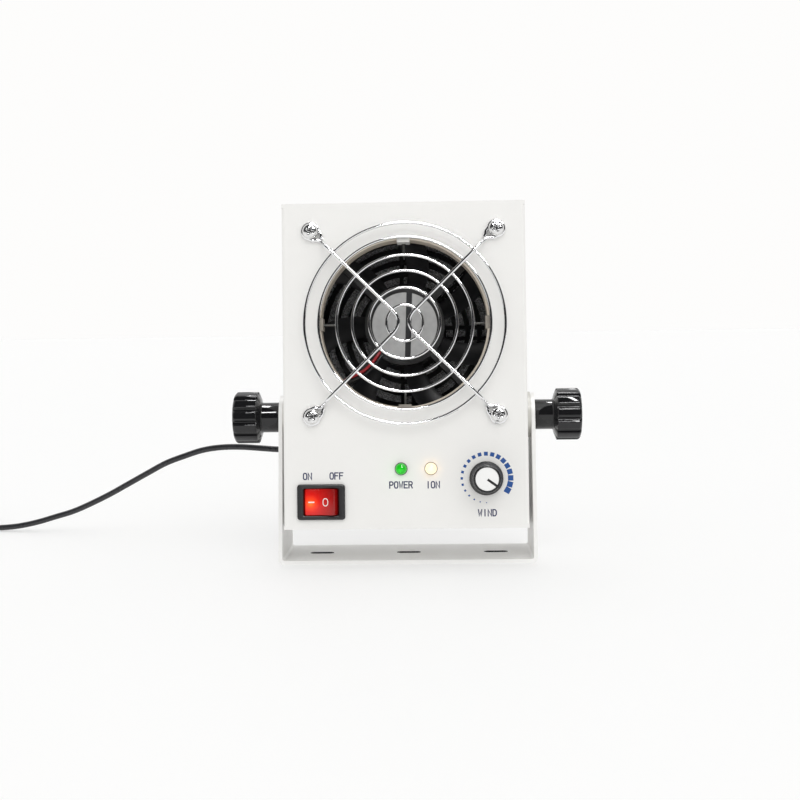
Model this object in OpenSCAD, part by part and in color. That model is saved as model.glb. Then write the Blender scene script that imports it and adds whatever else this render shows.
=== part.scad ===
// Benchtop ionizing blower on a U bracket.
// +Z is up, the outlet side faces -Y, and the origin is the centre of the
// bracket's underside, straight below the tilt axis.

/* [Housing] */
// Width of the sheet metal housing
body_w = 138; // [130:1:150]
// Height of the housing
body_h = 184.5; // [180:0.5:190]
// Depth of the housing without the rear filter
body_d = 75; // [72:1:85]
// Thickness of the housing sheet
sheet_t = 1.2; // [1:0.1:1.5]
// Outer radius of the sheet bends
bend_r = 1.8; // [1.6:0.1:3]
// Height of the housing below the tilt axis
below_axis = 64; // [60:1:66]

/* [Bracket] */
// Height of the tilt axis above the table
pivot_h = 84; // [82:1:100]
// Clear width between the bracket's arms
bracket_gap_w = 145.6; // [144:0.2:150]
// Thickness of the bracket strip
bracket_t = 2.2; // [1.5:0.1:3]
// Depth of the bracket's base
bracket_d = 50; // [40:1:60]
// Radius of the rounded arm tops
arm_r = 13; // [11:0.5:15]
// Distance from one mounting slot to the next
slot_pitch = 52; // [40:1:55]
// End to end length of a mounting slot
slot_l = 14.5; // [10:0.5:18]
// Width of a mounting slot
slot_w = 5.5; // [4.5:0.5:6.5]
// Backward lean of the housing as it stands
lean = 5; // [0:1:10]

/* [Clamp knobs] */
// Diameter of the knob head
knob_d = 30.6; // [26:0.2:34]
// Diameter of the knob hub
knob_hub_d = 17.8; // [14:0.2:20]
// Distance from arm to the outer face of the knob
knob_len = 27.2; // [24:0.2:30]
// Number of grip flutes
knob_flutes = 12; // [8:1:14]
// Diameter of the shoulder of the clamp stud
stud_d = 6.5; // [6:0.1:7]

/* [Air outlet] */
// Height of the fan axis above the tilt axis
fan_z = 52; // [50:1:55]
// Diameter of the outlet hole in the front panel
outlet_d = 97.2; // [90:0.2:104]
// Distance between the guard screws
guard_pitch = 105; // [105:0.5:105]
// Diameter of the ring wires
ring_wire = 1.6; // [1.2:0.1:2]
// Diameter of the spoke wires
spoke_wire = 2; // [1.6:0.1:2.4]
// Distance from the panel to the spoke wire's centre
guard_stand = 6.6; // [5:0.1:8]

/* [Fan] */
// Side of the square fan frame
fan_s = 119.5; // [118:0.5:120]
// Depth of the fan frame
fan_d = 38; // [25:1:38]
// Number of impeller blades
blades = 7; // [5:1:9]
// Diameter over the blade tips
impeller_d = 113; // [108:0.5:114]
// Diameter of the motor hub
hub_d = 46; // [40:1:50]

/* [Controls] */
// Switch centre from the housing's middle
switch_x = -47.8; // [-50:0.1:-40]
// Switch centre below the tilt axis
switch_z = -48.5; // [-52:0.1:-46]
// First lamp's centre from the housing's middle
lamp1_x = -2.6; // [-6:0.1:0]
// Second lamp's centre from the housing's middle
lamp2_x = 14.2; // [12:0.1:18]
// Lamp centres below the tilt axis
lamp_z = -30.3; // [-34:0.1:-28]
// Lamp lens diameter
lamp_d = 6.6; // [5:0.1:8]
// Dial centre from the housing's middle
dial_x = 45.1; // [42:0.1:48]
// Dial centre below the tilt axis
dial_z = -36; // [-40:0.1:-34]
// Diameter of the dial knob's skirt
dial_d = 19; // [16:0.2:22]
// Turning angle of the rocker to one side
rocker_a = 9; // [6:1:10]

/* [Lead] */
// Diameter of the power lead
lead_d = 3.8; // [3:0.1:4.5]
// Mean radius of the stored coil
coil_r = 22; // [19:0.5:24]
// Jack centre from the housing's middle
jack_x = -38; // [-40:1:-34]
// Jack centre below the tilt axis
jack_z = -20; // [-24:1:-18]

/* [Hidden] */
$fn = 64;

hw = body_w / 2;
yf = -body_d / 2;          // outer face of the front panel
yi = yf + sheet_t;         // inner face of the front panel
yr = body_d / 2;           // outer face of the rear panel
zb = -below_axis;          // underside of the housing
zt = body_h - below_axis;  // top of the housing
gp = guard_pitch / 2;
arm_x = bracket_gap_w / 2; // inner face of an arm
arm_o = arm_x + bracket_t; // outer face of an arm
em_y0 = yi + 0.1;          // emitter frame, front
em_y1 = em_y0 + 11.8;      // emitter frame, rear
fan_y0 = em_y1 + 0.1;      // fan frame, front
fan_y1 = fan_y0 + fan_d;   // fan frame, rear
flange_t = 5;
bore_r = 47.3;             // inner radius of the emitter frame
tip_r = 37.5;              // needle tips lie on this radius
relief_h = 2.3;            // bend relief at the shell's corners
screw_zs = [-54, 104];     // heights of the cover screws
corner4 = [[-1, -1], [1, -1], [1, 1], [-1, 1]];
board_y = yi + 9.6;        // front face of the control board
filt_y = yr;               // filter base sits on the rear panel
coil_c = [-335, 128];      // middle of the stored coil
out_r = coil_r + lead_d;   // centre of the coil's outer turns

// Everything on the tilting housing is drawn about the tilt axis.
module on_blower() translate([0, 0, pivot_h]) rotate([-lean, 0, 0]) children();

// A cylinder along +Y from y0 to y1.
module ycyl(r, y0, y1, x = 0, z = 0) translate([x, y0, z]) rotate([-90, 0, 0]) cylinder(r = r, h = y1 - y0);

// A cone along +Y.
module ycone(r0, r1, y0, y1, x = 0, z = 0) translate([x, y0, z]) rotate([-90, 0, 0]) cylinder(r1 = r0, r2 = r1, h = y1 - y0);

// A cylinder along +X from x0 to x1.
module xcyl(r, x0, x1, y = 0, z = 0) translate([x0, y, z]) rotate([0, 90, 0]) cylinder(r = r, h = x1 - x0);

// A box given by two corners.
module span(a, b) translate(a) cube(b - a);

// A round bar between two points.
module bar(a, b, r) {
    v = b - a;
    translate(a) rotate([0, acos(v[2] / norm(v)), atan2(v[1], v[0])]) cylinder(r = r, h = norm(v));
}

// A wire ring in the XZ plane.
module wire_ring(r, w, y, x = 0, z = 0) translate([x, y, z]) rotate([90, 0, 0]) rotate_extrude() translate([r, 0]) circle(d = w, $fn = 24);

// A plate of w by h, standing in the XZ plane, with round corners.
module round_plate(w, h, r, y0, y1, x = 0, z = 0) {
    span([x - w / 2 + r, y0, z - h / 2], [x + w / 2 - r, y1, z + h / 2]);
    span([x - w / 2, y0, z - h / 2 + r], [x + w / 2, y1, z + h / 2 - r]);
    for (c = corner4) ycyl(r, y0, y1, x + c[0] * (w / 2 - r), z + c[1] * (h / 2 - r));
}

// U section of a bent strip: open towards +Y, w wide, d deep.
module u_section(w, d, t, r) {
    difference() {
        union() {
            translate([-w / 2 + r, 0]) square([w - 2 * r, d]);
            translate([-w / 2, r]) square([w, d - r]);
            for (s = [-1, 1]) translate([s * (w / 2 - r), r]) circle(r);
        }
        union() {
            translate([-w / 2 + r, t]) square([w - 2 * r, d]);
            translate([-w / 2 + t, r]) square([w - 2 * t, d]);
            for (s = [-1, 1]) translate([s * (w / 2 - r), r]) circle(r - t);
        }
    }
}

// ---------------------------------------------------------------- bracket

module bracket() {
    color("whitesmoke") difference() {
        intersection() {
            // bent strip
            translate([0, bracket_d / 2, 0]) rotate([90, 0, 0])
                linear_extrude(bracket_d) u_section(2 * arm_o, pivot_h + arm_r + 5, bracket_t, bracket_t + 1.5);
            // outline of the arms seen from the side
            union() {
                span([-arm_o - 1, -bracket_d / 2, -1], [arm_o + 1, bracket_d / 2, 8]);
                translate([-arm_o - 1, 0, 0]) rotate([90, 0, 90]) linear_extrude(2 * arm_o + 2)
                    polygon([[-bracket_d / 2, 8], [bracket_d / 2, 8], [arm_r, pivot_h], [-arm_r, pivot_h]]);
                xcyl(arm_r, -arm_o - 1, arm_o + 1, 0, pivot_h);
            }
        }
        // pivot holes
        for (s = [-1, 1]) xcyl(stud_d / 2 + 0.05, s * (arm_x + bracket_t / 2) - 3, s * (arm_x + bracket_t / 2) + 3, 0, pivot_h);
        // mounting slots
        for (i = [-1, 0, 1]) translate([i * slot_pitch, 0, -1]) {
            for (s = [-1, 1]) translate([s * (slot_l - slot_w) / 2, 0, 0]) cylinder(d = slot_w, h = bracket_t + 2);
            translate([-(slot_l - slot_w) / 2, -slot_w / 2, 0]) cube([slot_l - slot_w, slot_w, bracket_t + 2]);
        }
    }
}

module pivot_spacers() {
    color("gainsboro") for (s = [-1, 1]) difference() {
        xcyl(13.5, s > 0 ? hw + 0.1 : -arm_x + 0.1, s > 0 ? arm_x - 0.1 : -hw - 0.1, 0, pivot_h);
        xcyl(stud_d / 2 + 0.1, s > 0 ? hw - 1 : -arm_x - 1, s > 0 ? arm_x + 1 : -hw + 1, 0, pivot_h);
    }
}

// Clamp knob along +X, its hub starting at x = 0.
module clamp_knob() {
    L = knob_len;
    hub_l = 12.6;
    difference() {
        union() {
            xcyl(knob_hub_d / 2, 0, hub_l + 1);
            translate([hub_l - 0.9, 0, 0]) rotate([0, 90, 0]) cylinder(r1 = knob_d / 2 - 2.6, r2 = knob_d / 2 - 0.4, h = 2);
            xcyl(knob_d / 2, hub_l + 1.1, L - 1.6);
            translate([L - 1.6, 0, 0]) rotate([0, 90, 0]) cylinder(r1 = knob_d / 2, r2 = knob_d / 2 - 2.8, h = 1.6);
        }
        for (i = [0:knob_flutes - 1]) rotate([360 / knob_flutes * (i + 0.5), 0, 0])
            xcyl(2.2, hub_l - 2, L + 1, 0, knob_d / 2 + 1);
        // stud seat
        xcyl(stud_d / 2, -1, 9);
    }
}

// Clamp stud along -X from the knob, shoulder first, then the thread.
module clamp_stud() {
    xcyl(stud_d / 2, arm_o - arm_x - 2 * bracket_t - 3.6, 9);
    xcyl(3, -14, -5.7);
}

module knob_right() color("black") translate([arm_o + 0.1, 0, pivot_h]) clamp_knob();
module knob_right_stud() color("silver") translate([arm_o + 0.1, 0, pivot_h]) clamp_stud();
module knob_left() color("black") translate([-arm_o - 0.1, 0, pivot_h]) rotate([0, 0, 180]) clamp_knob();
module knob_left_stud() color("silver") translate([-arm_o - 0.1, 0, pivot_h]) rotate([0, 0, 180]) clamp_stud();

// ---------------------------------------------------------------- housing

module front_shell() {
    color("whitesmoke") on_blower() difference() {
        union() {
            // panel with both sides bent back
            translate([0, yf, zb + relief_h]) linear_extrude(body_h - 2 * relief_h) u_section(body_w, body_d, sheet_t, bend_r);
            // flat panel ends beyond the bends
            span([-hw, yf, zb], [hw, yi, zb + relief_h]);
            span([-hw, yf, zt - relief_h], [hw, yi, zt]);
            // sides run on behind the bend relief
            for (s = [-1, 1]) {
                span([s > 0 ? hw - sheet_t : -hw, yf + 4.2, zb], [s > 0 ? hw : -hw + sheet_t, yr, zb + relief_h + 1]);
                span([s > 0 ? hw - sheet_t : -hw, yf + 4.2, zt - relief_h - 1], [s > 0 ? hw : -hw + sheet_t, yr, zt]);
            }
        }
        // air outlet and guard screws
        ycyl(outlet_d / 2, yf - 1, yi + 1, 0, fan_z);
        for (c = corner4) ycyl(2.2, yf - 1, yi + 1, c[0] * gp, fan_z + c[1] * gp);
        // lamps, dial and switch
        for (x = [lamp1_x, lamp2_x]) ycyl(lamp_d / 2 + 0.05, yf - 1, yi + 1, x, lamp_z);
        ycyl(3.6, yf - 1, yi + 1, dial_x, dial_z);
        span([switch_x - 12.6, yf - 1, switch_z - 9.2], [switch_x + 12.6, yi + 1, switch_z + 9.2]);
        // pivot holes and cover screws
        for (s = [-1, 1]) {
            xcyl(stud_d / 2 + 0.1, s * hw - 3, s * hw + 3);
            for (z = screw_zs) xcyl(1.6, s * hw - 3, s * hw + 3, 29, z);
        }
    }
}

module rear_cover() {
    cw = body_w - 2 * sheet_t - 0.2;
    color("whitesmoke") on_blower() difference() {
        union() {
            // rear panel with top and bottom bent forward
            translate([-cw / 2, yr, (zb + zt) / 2]) rotate([90, 0, 90]) linear_extrude(cw)
                rotate(90) translate([0, 0]) u_section(body_h, body_d - sheet_t - 0.1, sheet_t, bend_r);
            // four screw tabs inside the sides
            for (s = [-1, 1]) for (z = screw_zs)
                span([s > 0 ? cw / 2 - sheet_t : -cw / 2, 22, z - 7], [s > 0 ? cw / 2 : -cw / 2 + sheet_t, yr - 0.6, z + 7]);
        }
        ycyl(57.5, yr - 3, yr + 1, 0, fan_z);
        for (c = corner4) ycyl(2.2, yr - 3, yr + 1, c[0] * gp, fan_z + c[1] * gp);
        ycyl(5.6, yr - 3, yr + 1, jack_x, jack_z);
        ycyl(3.1, yr - 3, yr + 1, -jack_x, jack_z);
        for (s = [-1, 1]) for (z = screw_zs) xcyl(1.6, s * hw - 5, s * hw + 5, 29, z);
    }
}

// Pan head screw along +Y with a cross recess; y0 is under the head.
module pan_screw(head_r, head_h, r, len) {
    difference() {
        union() {
            ycyl(head_r, -head_h * 0.55, 0);
            ycone(head_r * 0.62, head_r, -head_h, -head_h * 0.55);
            ycyl(r, 0, len);
        }
        for (a = [0, 90]) rotate([0, a, 0]) span([-head_r * 0.5, -head_h - 1, -head_r * 0.1], [head_r * 0.5, -head_h * 0.3, head_r * 0.1]);
    }
}

// Hexagon nut with its axis along Y.
module hex_nut(af_r, bore, y0, y1) difference() {
    translate([0, y0, 0]) rotate([-90, 0, 0]) cylinder(r = af_r, h = y1 - y0, $fn = 6);
    ycyl(bore, y0 - 1, y1 + 1);
}

module cover_screws() {
    color("silver") on_blower() for (s = [-1, 1]) for (z = screw_zs)
        translate([s * hw, 29, z]) rotate([0, 0, s * 90]) pan_screw(2.8, 1.7, 1.5, 7);
}

module cover_nuts() {
    cw = body_w - 2 * sheet_t - 0.2;
    color("darkgray") on_blower() for (s = [-1, 1]) for (z = screw_zs)
        translate([s * (cw / 2 - sheet_t), 29, z]) rotate([0, 0, s * 90]) hex_nut(3.1, 1.52, 0.02, 2.5);
}

module pivot_nuts() {
    color("darkgray") on_blower() for (s = [-1, 1]) difference() {
        xcyl(6.5, s > 0 ? hw - sheet_t - 6.8 : -hw + sheet_t + 0.02, s > 0 ? hw - sheet_t - 0.02 : -hw + sheet_t + 6.8);
        xcyl(3.05, s > 0 ? hw - sheet_t - 8 : -hw + sheet_t - 1, s > 0 ? hw - sheet_t + 1 : -hw + sheet_t + 8);
    }
}

// ---------------------------------------------------------------- guard

module fan_guard() {
    ys = yf - guard_stand;                     // spoke wire plane
    yw = ys + spoke_wire / 2 + ring_wire / 2 - 0.45; // ring wire plane
    yp = yf - spoke_wire / 2;                  // wire lying on the panel
    color("silver") on_blower() translate([0, 0, fan_z]) {
        for (r = [57, 48.8, 38.9, 30.2, 20.5, 10.5]) wire_ring(r, ring_wire, yw);
        for (s = [-1, 1]) {
            // one bent wire on each side: two spokes from a rounded elbow
            tip = [s * 2.7, ys, 0];
            for (t = [-1, 1]) {
                step0 = [s * 42.8, ys, t * 43.1];
                step1 = [s * 47.2, yp, t * 47.5];
                eye = [s * (gp - 2.4), yp, t * (gp - 2.4)];
                bar(tip, step0, spoke_wire / 2);
                bar(step0, step1, spoke_wire / 2);
                bar(step1, eye, spoke_wire / 2 - 0.06);
                for (p = [step0, step1]) translate(p) sphere(spoke_wire / 2 + 0.05, $fn = 24);
                wire_ring(3.4, spoke_wire, yp, s * gp, t * gp);
            }
            translate(tip) sphere(spoke_wire / 2 + 0.05, $fn = 24);
        }
    }
}

module guard_screws() {
    color("silver") on_blower() for (c = corner4)
        translate([c[0] * gp, yf - spoke_wire, fan_z + c[1] * gp]) rotate([0, 20 * c[0] + 35, 0]) pan_screw(4.4, 3, 1.95, 27);
}

module guard_nuts() {
    color("darkgray") on_blower() for (c = corner4)
        translate([c[0] * gp, 0, fan_z + c[1] * gp]) hex_nut(4.1, 1.97, fan_y0 + flange_t + 0.02, fan_y0 + flange_t + 3.2);
}

// ---------------------------------------------------------------- emitters

module emitter_frame() {
    color("beige") on_blower() difference() {
        round_plate(118, 118, 5, em_y0, em_y1, 0, fan_z);
        ycyl(bore_r, em_y0 - 1, em_y1 + 1, 0, fan_z);
        for (c = corner4) ycyl(2.2, em_y0 - 1, em_y1 + 1, c[0] * gp, fan_z + c[1] * gp);
        // pockets for the needle sockets
        for (a = [0, 90, 180, 270]) translate([0, 0, fan_z]) rotate([0, a, 0])
            span([-3.7, em_y0 - 1, bore_r - 1], [3.7, em_y1 - 1.4, bore_r + 3.2]);
    }
}

module needle_sockets() {
    color("white") on_blower() for (a = [0, 90, 180, 270]) translate([0, 0, fan_z]) rotate([0, a, 0]) difference() {
        span([-3.6, em_y0 + 0.6, bore_r - 1.3], [3.6, em_y1 - 1.5, bore_r + 3.1]);
        span([-1.1, em_y1 - 5.1, bore_r - 2], [1.1, em_y1 - 1, bore_r + 0.4]);
        translate([0, em_y1 - 3.3, bore_r - 2]) cylinder(r = 0.75, h = 4.6);
    }
}

module emitter_needles() {
    color("lightgray") on_blower() for (a = [0, 90, 180, 270]) translate([0, 0, fan_z]) rotate([0, a, 0])
        translate([0, em_y1 - 3.3, 0]) {
            translate([0, 0, tip_r + 2.6]) cylinder(r = 0.7, h = bore_r + 2 - tip_r - 2.6);
            translate([0, 0, tip_r]) cylinder(r1 = 0.08, r2 = 0.7, h = 2.6);
        }
}

module hv_module() {
    color("dimgray") on_blower() {
        span([2, -12, zb + sheet_t + 0.1], [58, 20, zb + sheet_t + 24]);
        // lead outlets on the potted face
        for (x = [16, 44]) translate([x, 4, zb + sheet_t + 24]) cylinder(r = 3, h = 2);
    }
}

module hv_leads() {
    z0 = zb + sheet_t + 26;
    color("orangered") on_blower() for (x = [16, 44]) {
        ze = fan_z - 62.5;
        translate([x, 4, z0 + 0.02]) cylinder(r = 1.3, h = ze - z0);
        ycyl(1.3, -30.4, 4, x, ze);
        translate([x, -30.4, ze]) cylinder(r = 1.3, h = fan_z - 59.05 - ze);
        for (y = [-30.4, 4]) translate([x, y, ze]) sphere(1.36, $fn = 24);
    }
}

// ---------------------------------------------------------------- fan

module fan_frame() {
    h = fan_s / 2;
    color("#1b1a19") on_blower() translate([0, 0, fan_z]) {
        difference() {
            union() {
                round_plate(fan_s, fan_s, 5, fan_y0, fan_y0 + flange_t);
                round_plate(fan_s, fan_s, 5, fan_y1 - flange_t, fan_y1);
                ycyl(59.6, fan_y0, fan_y1);
            }
            ycyl(57.8, fan_y0 - 1, fan_y1 + 1);
            for (c = corner4) ycyl(2.2, fan_y0 - 1, fan_y1 + 1, c[0] * gp, c[1] * gp);
        }
        // motor plate on four diagonal struts, outlet side
        difference() {
            union() {
                ycyl(hub_d / 2, fan_y0, fan_y0 + 3);
                for (a = [45:90:315]) rotate([0, a, 0]) span([18, fan_y0 + 0.2, -2.6], [58.6, fan_y0 + 4.2, 2.6]);
                ycyl(5.2, fan_y0 + 2, fan_y0 + 27);
            }
            ycyl(4, fan_y0 + 2.2, fan_y0 + 28);
        }
    }
}

module fan_bearings() {
    color("goldenrod") on_blower() translate([0, 0, fan_z]) for (y = [fan_y0 + 3.2, fan_y0 + 22.6]) difference() {
        ycyl(4, y, y + 4);
        ycyl(1.55, y - 1, y + 5);
    }
}

module fan_stator() {
    color("chocolate") on_blower() translate([0, 0, fan_z]) difference() {
        union() {
            ycyl(9, fan_y0 + 6, fan_y0 + 20);
            for (a = [0:90:270]) rotate([0, a, 0]) {
                span([6, fan_y0 + 7, -3], [14, fan_y0 + 19, 3]);
                intersection() {
                    difference() {
                        ycyl(17.2, fan_y0 + 8, fan_y0 + 18);
                        ycyl(13.6, fan_y0 + 7, fan_y0 + 19);
                    }
                    span([8, fan_y0 + 7, -8], [19, fan_y0 + 19, 8]);
                }
            }
        }
        ycyl(5.2, fan_y0 + 5, fan_y0 + 21);
    }
}

module fan_hub_cover() color("silver") on_blower() ycyl(18.8, fan_y0 - 0.3, fan_y0, 0, fan_z);

module fan_wires() {
    color("red") on_blower() translate([0, 0, fan_z]) for (k = [-1, 1]) {
        o = k * 0.9;
        p = [[-15.2 + o, fan_y0 - 0.9, -16.6 - o], [-31.4 + o, fan_y0 - 0.9, -32.8 - o]];
        bar(p[0], p[1], 0.8);
    }
}

// One cambered blade: an arc section run out from the hub.
module blade() {
    rotate([0, 90, 0]) translate([0, 0, hub_d / 2 - 2]) linear_extrude(impeller_d / 2) intersection() {
        translate([-18.5, -2]) rotate(0) difference() {
            translate([-6, 18]) circle(34.2);
            translate([-6, 18]) circle(32.4);
        }
        translate([-30, -13]) square([60, 26]);
        translate([-60, -13]) square([75, 26]);
        translate([-16, -13]) square([40, 26]);
    }
}

module fan_impeller() {
    y0 = fan_y0 + 5;
    y1 = fan_y1 - 1.4;
    color("#2b2b2b") on_blower() translate([0, 0, fan_z]) {
        difference() {
            ycyl(hub_d / 2 - 0.4, y0, y1);
            ycyl(hub_d / 2 - 2.4, y0 - 1, y1 - 3);
        }
        difference() {
            ycyl(3.6, y1 - 6.5, y1 - 2);
            ycyl(1.5, y1 - 8, y1 - 2);
        }
        intersection() {
            difference() {
                ycyl(impeller_d / 2, y0 + 0.6, y1 - 0.6);
                ycyl(hub_d / 2 - 1.4, y0, y1);
            }
            for (i = [0:blades - 1]) rotate([0, 360 / blades * i + 12, 0]) translate([0, (y0 + y1) / 2, 0]) blade();
        }
    }
}

module fan_magnet() color("dimgray") on_blower() translate([0, 0, fan_z]) difference() {
    ycyl(hub_d / 2 - 2.4, fan_y0 + 7, fan_y0 + 19);
    ycyl(hub_d / 2 - 4.6, fan_y0 + 6, fan_y0 + 20);
}

module fan_shaft() color("lightsteelblue") on_blower() ycyl(1.5, fan_y0 + 3.4, fan_y1 - 4.4, 0, fan_z);

// ---------------------------------------------------------------- electronics

board_x = [-12, 58];
board_z = [-60, -14];
standoff_xz = [[-8, -56], [54, -56], [-8, -18], [54, -18]];

module control_board() {
    color("darkgreen") on_blower() difference() {
        span([board_x[0], board_y, board_z[0]], [board_x[1], board_y + 1.6, board_z[1]]);
        for (p = standoff_xz) ycyl(1.6, board_y - 1, board_y + 3, p[0], p[1]);
    }
}

module board_parts() {
    b = board_y + 1.6;
    color("dimgray") on_blower() {
        ycyl(5, b + 0.01, b + 12, 4, -36);                       // capacitor
        ycyl(3.2, b + 0.01, b + 9, 20, -24);                     // capacitor
        span([26, b + 0.01, -30], [36, b + 5, -20]);             // regulator
        span([24, b + 0.01, -56], [44, b + 6.5, -48]);           // lead connector
        span([2, b + 0.01, -56], [14, b + 6.5, -50]);            // fan connector
        ycyl(4, b + 0.01, b + 7, 30, -38);                       // inductor
    }
}

module board_standoffs() {
    color("silver") on_blower() for (p = standoff_xz) translate([p[0], 0, p[1]]) difference() {
        translate([0, yi + 0.02, 0]) rotate([-90, 0, 0]) cylinder(r = 3, h = board_y - yi - 0.04, $fn = 6);
        ycyl(1.5, yi + 3, board_y + 1);
    }
}

module board_screws() {
    color("silver") on_blower() for (p = standoff_xz) translate([p[0], board_y + 1.62, p[1]]) rotate([0, 0, 180]) pan_screw(2.7, 1.9, 1.48, 5);
}

module potentiometer() {
    color("gray") on_blower() difference() {
        union() {
            ycyl(8.2, yi + 0.02, board_y - 0.3, dial_x, dial_z);
            ycyl(3.5, yf - 5, yi + 1, dial_x, dial_z);
        }
        ycyl(3.05, yf - 6, board_y - 2, dial_x, dial_z);
    }
}

module pot_nut() color("silver") on_blower() translate([dial_x, 0, dial_z]) hex_nut(5.4, 3.52, yf - 2.2, yf - 0.02);

// Joint frame of the dial: shaft and knob turn together.
module pot_shaft() color("silver") on_blower() ycyl(3, yf - 12.6, board_y - 2.2, dial_x, dial_z);

module speed_knob() {
    s = dial_d / 2;
    color("#202020") on_blower() translate([dial_x, yf, dial_z]) rotate([90, 0, 0]) rotate_extrude()
        polygon([[6.6, 0.7], [s, 0.7], [s, 3.2], [s - 0.5, 3.9], [8.1, 6.2], [7.8, 9], [7.7, 14.2], [7.3, 14.7],
                 [6.55, 14.7], [6.55, 13.9], [0.01, 13.9], [0.01, 12.6], [3, 12.6], [3, 5.6], [6.6, 5.6]]);
}

module speed_knob_cap() color("white") on_blower() ycyl(6.5, yf - 14.5, yf - 13.9, dial_x, dial_z);

module lamp(x) {
    r = lamp_d / 2;
    on_blower() translate([x, 0, lamp_z]) {
        ycyl(r, yf - 1.2, yi + 5);
        intersection() {
            translate([0, yf - 1.2, 0]) sphere(r);
            ycyl(r, yf - 8, yf - 1.1);
        }
        for (s = [-1, 1]) ycyl(0.3, yi + 4.9, board_y - 0.05, s * 1.27, 0);
    }
}

module power_lamp() color("limegreen") lamp(lamp1_x);
module ion_lamp() color("moccasin") lamp(lamp2_x);

// ---------------------------------------------------------------- switch

module switch_housing() {
    color("#151515") on_blower() translate([switch_x, 0, switch_z]) difference() {
        union() {
            round_plate(27, 20, 1.6, yf - 2, yf - 0.02);
            span([-12.4, yf - 0.1, -9], [12.4, yf + 15, 9]);
        }
        span([-9.9, yf - 3, -7.6], [9.9, yf + 12, 7.6]);
        // seats of the rocker's pins
        translate([0, yf + 2.2, -8.6]) cylinder(r = 1.05, h = 17.2);
    }
}

module switch_terminals() {
    color("gold") on_blower() for (x = [-7, 0, 7]) span([switch_x + x - 0.4, yf + 15.02, switch_z - 2.4], [switch_x + x + 0.4, yf + 23, switch_z + 2.4]);
}

// Rocker in its rest position: the left end pressed in.
module rocker_button() {
    color("red") on_blower() translate([switch_x, yf + 2.2, switch_z]) rotate([0, 0, -rocker_a]) {
        translate([0, 0, -7.3]) linear_extrude(14.6) intersection() {
            circle(9.6);
            polygon([[-9.6, -5.4], [0, -3.9], [9.6, -5.4], [9.6, 1], [3.5, 3.6], [-3.5, 3.6], [-9.6, 1]]);
        }
        translate([0, 0, -8.4]) cylinder(r = 1, h = 16.8);
    }
}

// ---------------------------------------------------------------- rear fittings

module dc_jack() {
    color("#181818") on_blower() translate([jack_x, 0, jack_z]) difference() {
        union() {
            ycyl(7, yr + 0.02, yr + 1.6);
            ycyl(5.5, yr - 14, yr + 0.1);
        }
        ycyl(2.85, yr - 11, yr + 3);
    }
}

module jack_nut() color("silver") on_blower() translate([jack_x, 0, jack_z]) hex_nut(8, 5.52, yr - sheet_t - 2.6, yr - sheet_t - 0.02);

module ground_terminal() {
    color("goldenrod") on_blower() translate([-jack_x, 0, jack_z]) {
        ycyl(3, yr - 9, yr + 7);
        difference() {
            ycyl(5.4, yr + 0.02, yr + 4);
            for (i = [0:17]) rotate([0, i * 20, 0]) translate([5.6, 0, 0]) ycyl(0.45, yr - 1, yr + 5, 0, 0);
        }
        translate([0, yr - sheet_t - 2.6, 0]) rotate([-90, 0, 0]) cylinder(r = 5.4, h = 2.56, $fn = 6);
    }
}

// Ring grille seen through the fan and from behind.
module ring_grille(y0, y1, radii) {
    for (r = radii) difference() {
        ycyl(r + 1.5, y0, y1);
        ycyl(r - 1.5, y0 - 1, y1 + 1);
    }
    ycyl(8, y0, y1);
    for (a = [0, 90]) rotate([0, a, 0]) for (k = [-1, 1]) span([-58, y0, k * 3.4 - 1.2], [58, y1, k * 3.4 + 1.2]);
    for (a = [45, 135]) rotate([0, a, 0]) span([-60, y0, -1.2], [60, y1, 1.2]);
}

module filter_base() {
    color("#161616") on_blower() translate([0, 0, fan_z]) difference() {
        union() {
            difference() {
                round_plate(119, 119, 4, filt_y + 0.02, filt_y + 2.6);
                ycyl(57, filt_y - 1, filt_y + 4);
            }
            ring_grille(filt_y + 0.02, filt_y + 2, [15, 22.5, 30, 37.5, 45, 52.5]);
        }
        for (c = corner4) ycyl(2.2, filt_y - 1, filt_y + 4, c[0] * gp, c[1] * gp);
    }
}

module filter_screws() {
    color("silver") on_blower() for (c = corner4)
        translate([c[0] * gp, filt_y + 2.62, fan_z + c[1] * gp]) rotate([0, 0, 180]) pan_screw(3.6, 1.6, 1.95, 9);
}

module filter_nuts() {
    color("darkgray") on_blower() for (c = corner4)
        translate([c[0] * gp, 0, fan_z + c[1] * gp]) hex_nut(4.1, 1.97, yr - sheet_t - 3.2, yr - sheet_t - 0.02);
}

module filter_foam() color("#3c3b39") on_blower() difference() {
    round_plate(113.4, 113.4, 3, filt_y + 2.65, filt_y + 5.9, 0, fan_z);
    for (c = corner4) translate([c[0] * (gp + 5), filt_y + 4, fan_z + c[1] * (gp + 5)]) cube([19.2, 10, 19.2], center = true);
}

module filter_cover() {
    color("#161616") on_blower() translate([0, 0, fan_z]) {
        difference() {
            round_plate(119, 119, 4, filt_y + 2.65, filt_y + 8);
            round_plate(114, 114, 3, filt_y + 1, filt_y + 6);
            ycyl(56, filt_y - 1, filt_y + 9);
        }
        ring_grille(filt_y + 6, filt_y + 8, [15, 22.5, 30, 37.5, 45, 52.5]);
    }
}

// ---------------------------------------------------------------- lead

// The lead leaves a right-angle plug to the left, falls to the table in one
// easy curve, and runs to the coil. Points are centres of the lead.
ad_c = [-396, 118]; // middle of the adapter as it lies
plug_y = yr + 9.6;
end_r = lead_d / 2;
seam_x = -70.2;

module dc_plug() {
    color("#1a1a1a") on_blower() translate([jack_x, 0, jack_z]) {
        ycyl(2.75, yr - 9, yr + 1.8);
        ycyl(5, yr + 1.7, plug_y);
        translate([0, plug_y, 0]) sphere(5);
        xcyl(4, -13, 0, plug_y, 0);
    }
}

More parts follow.
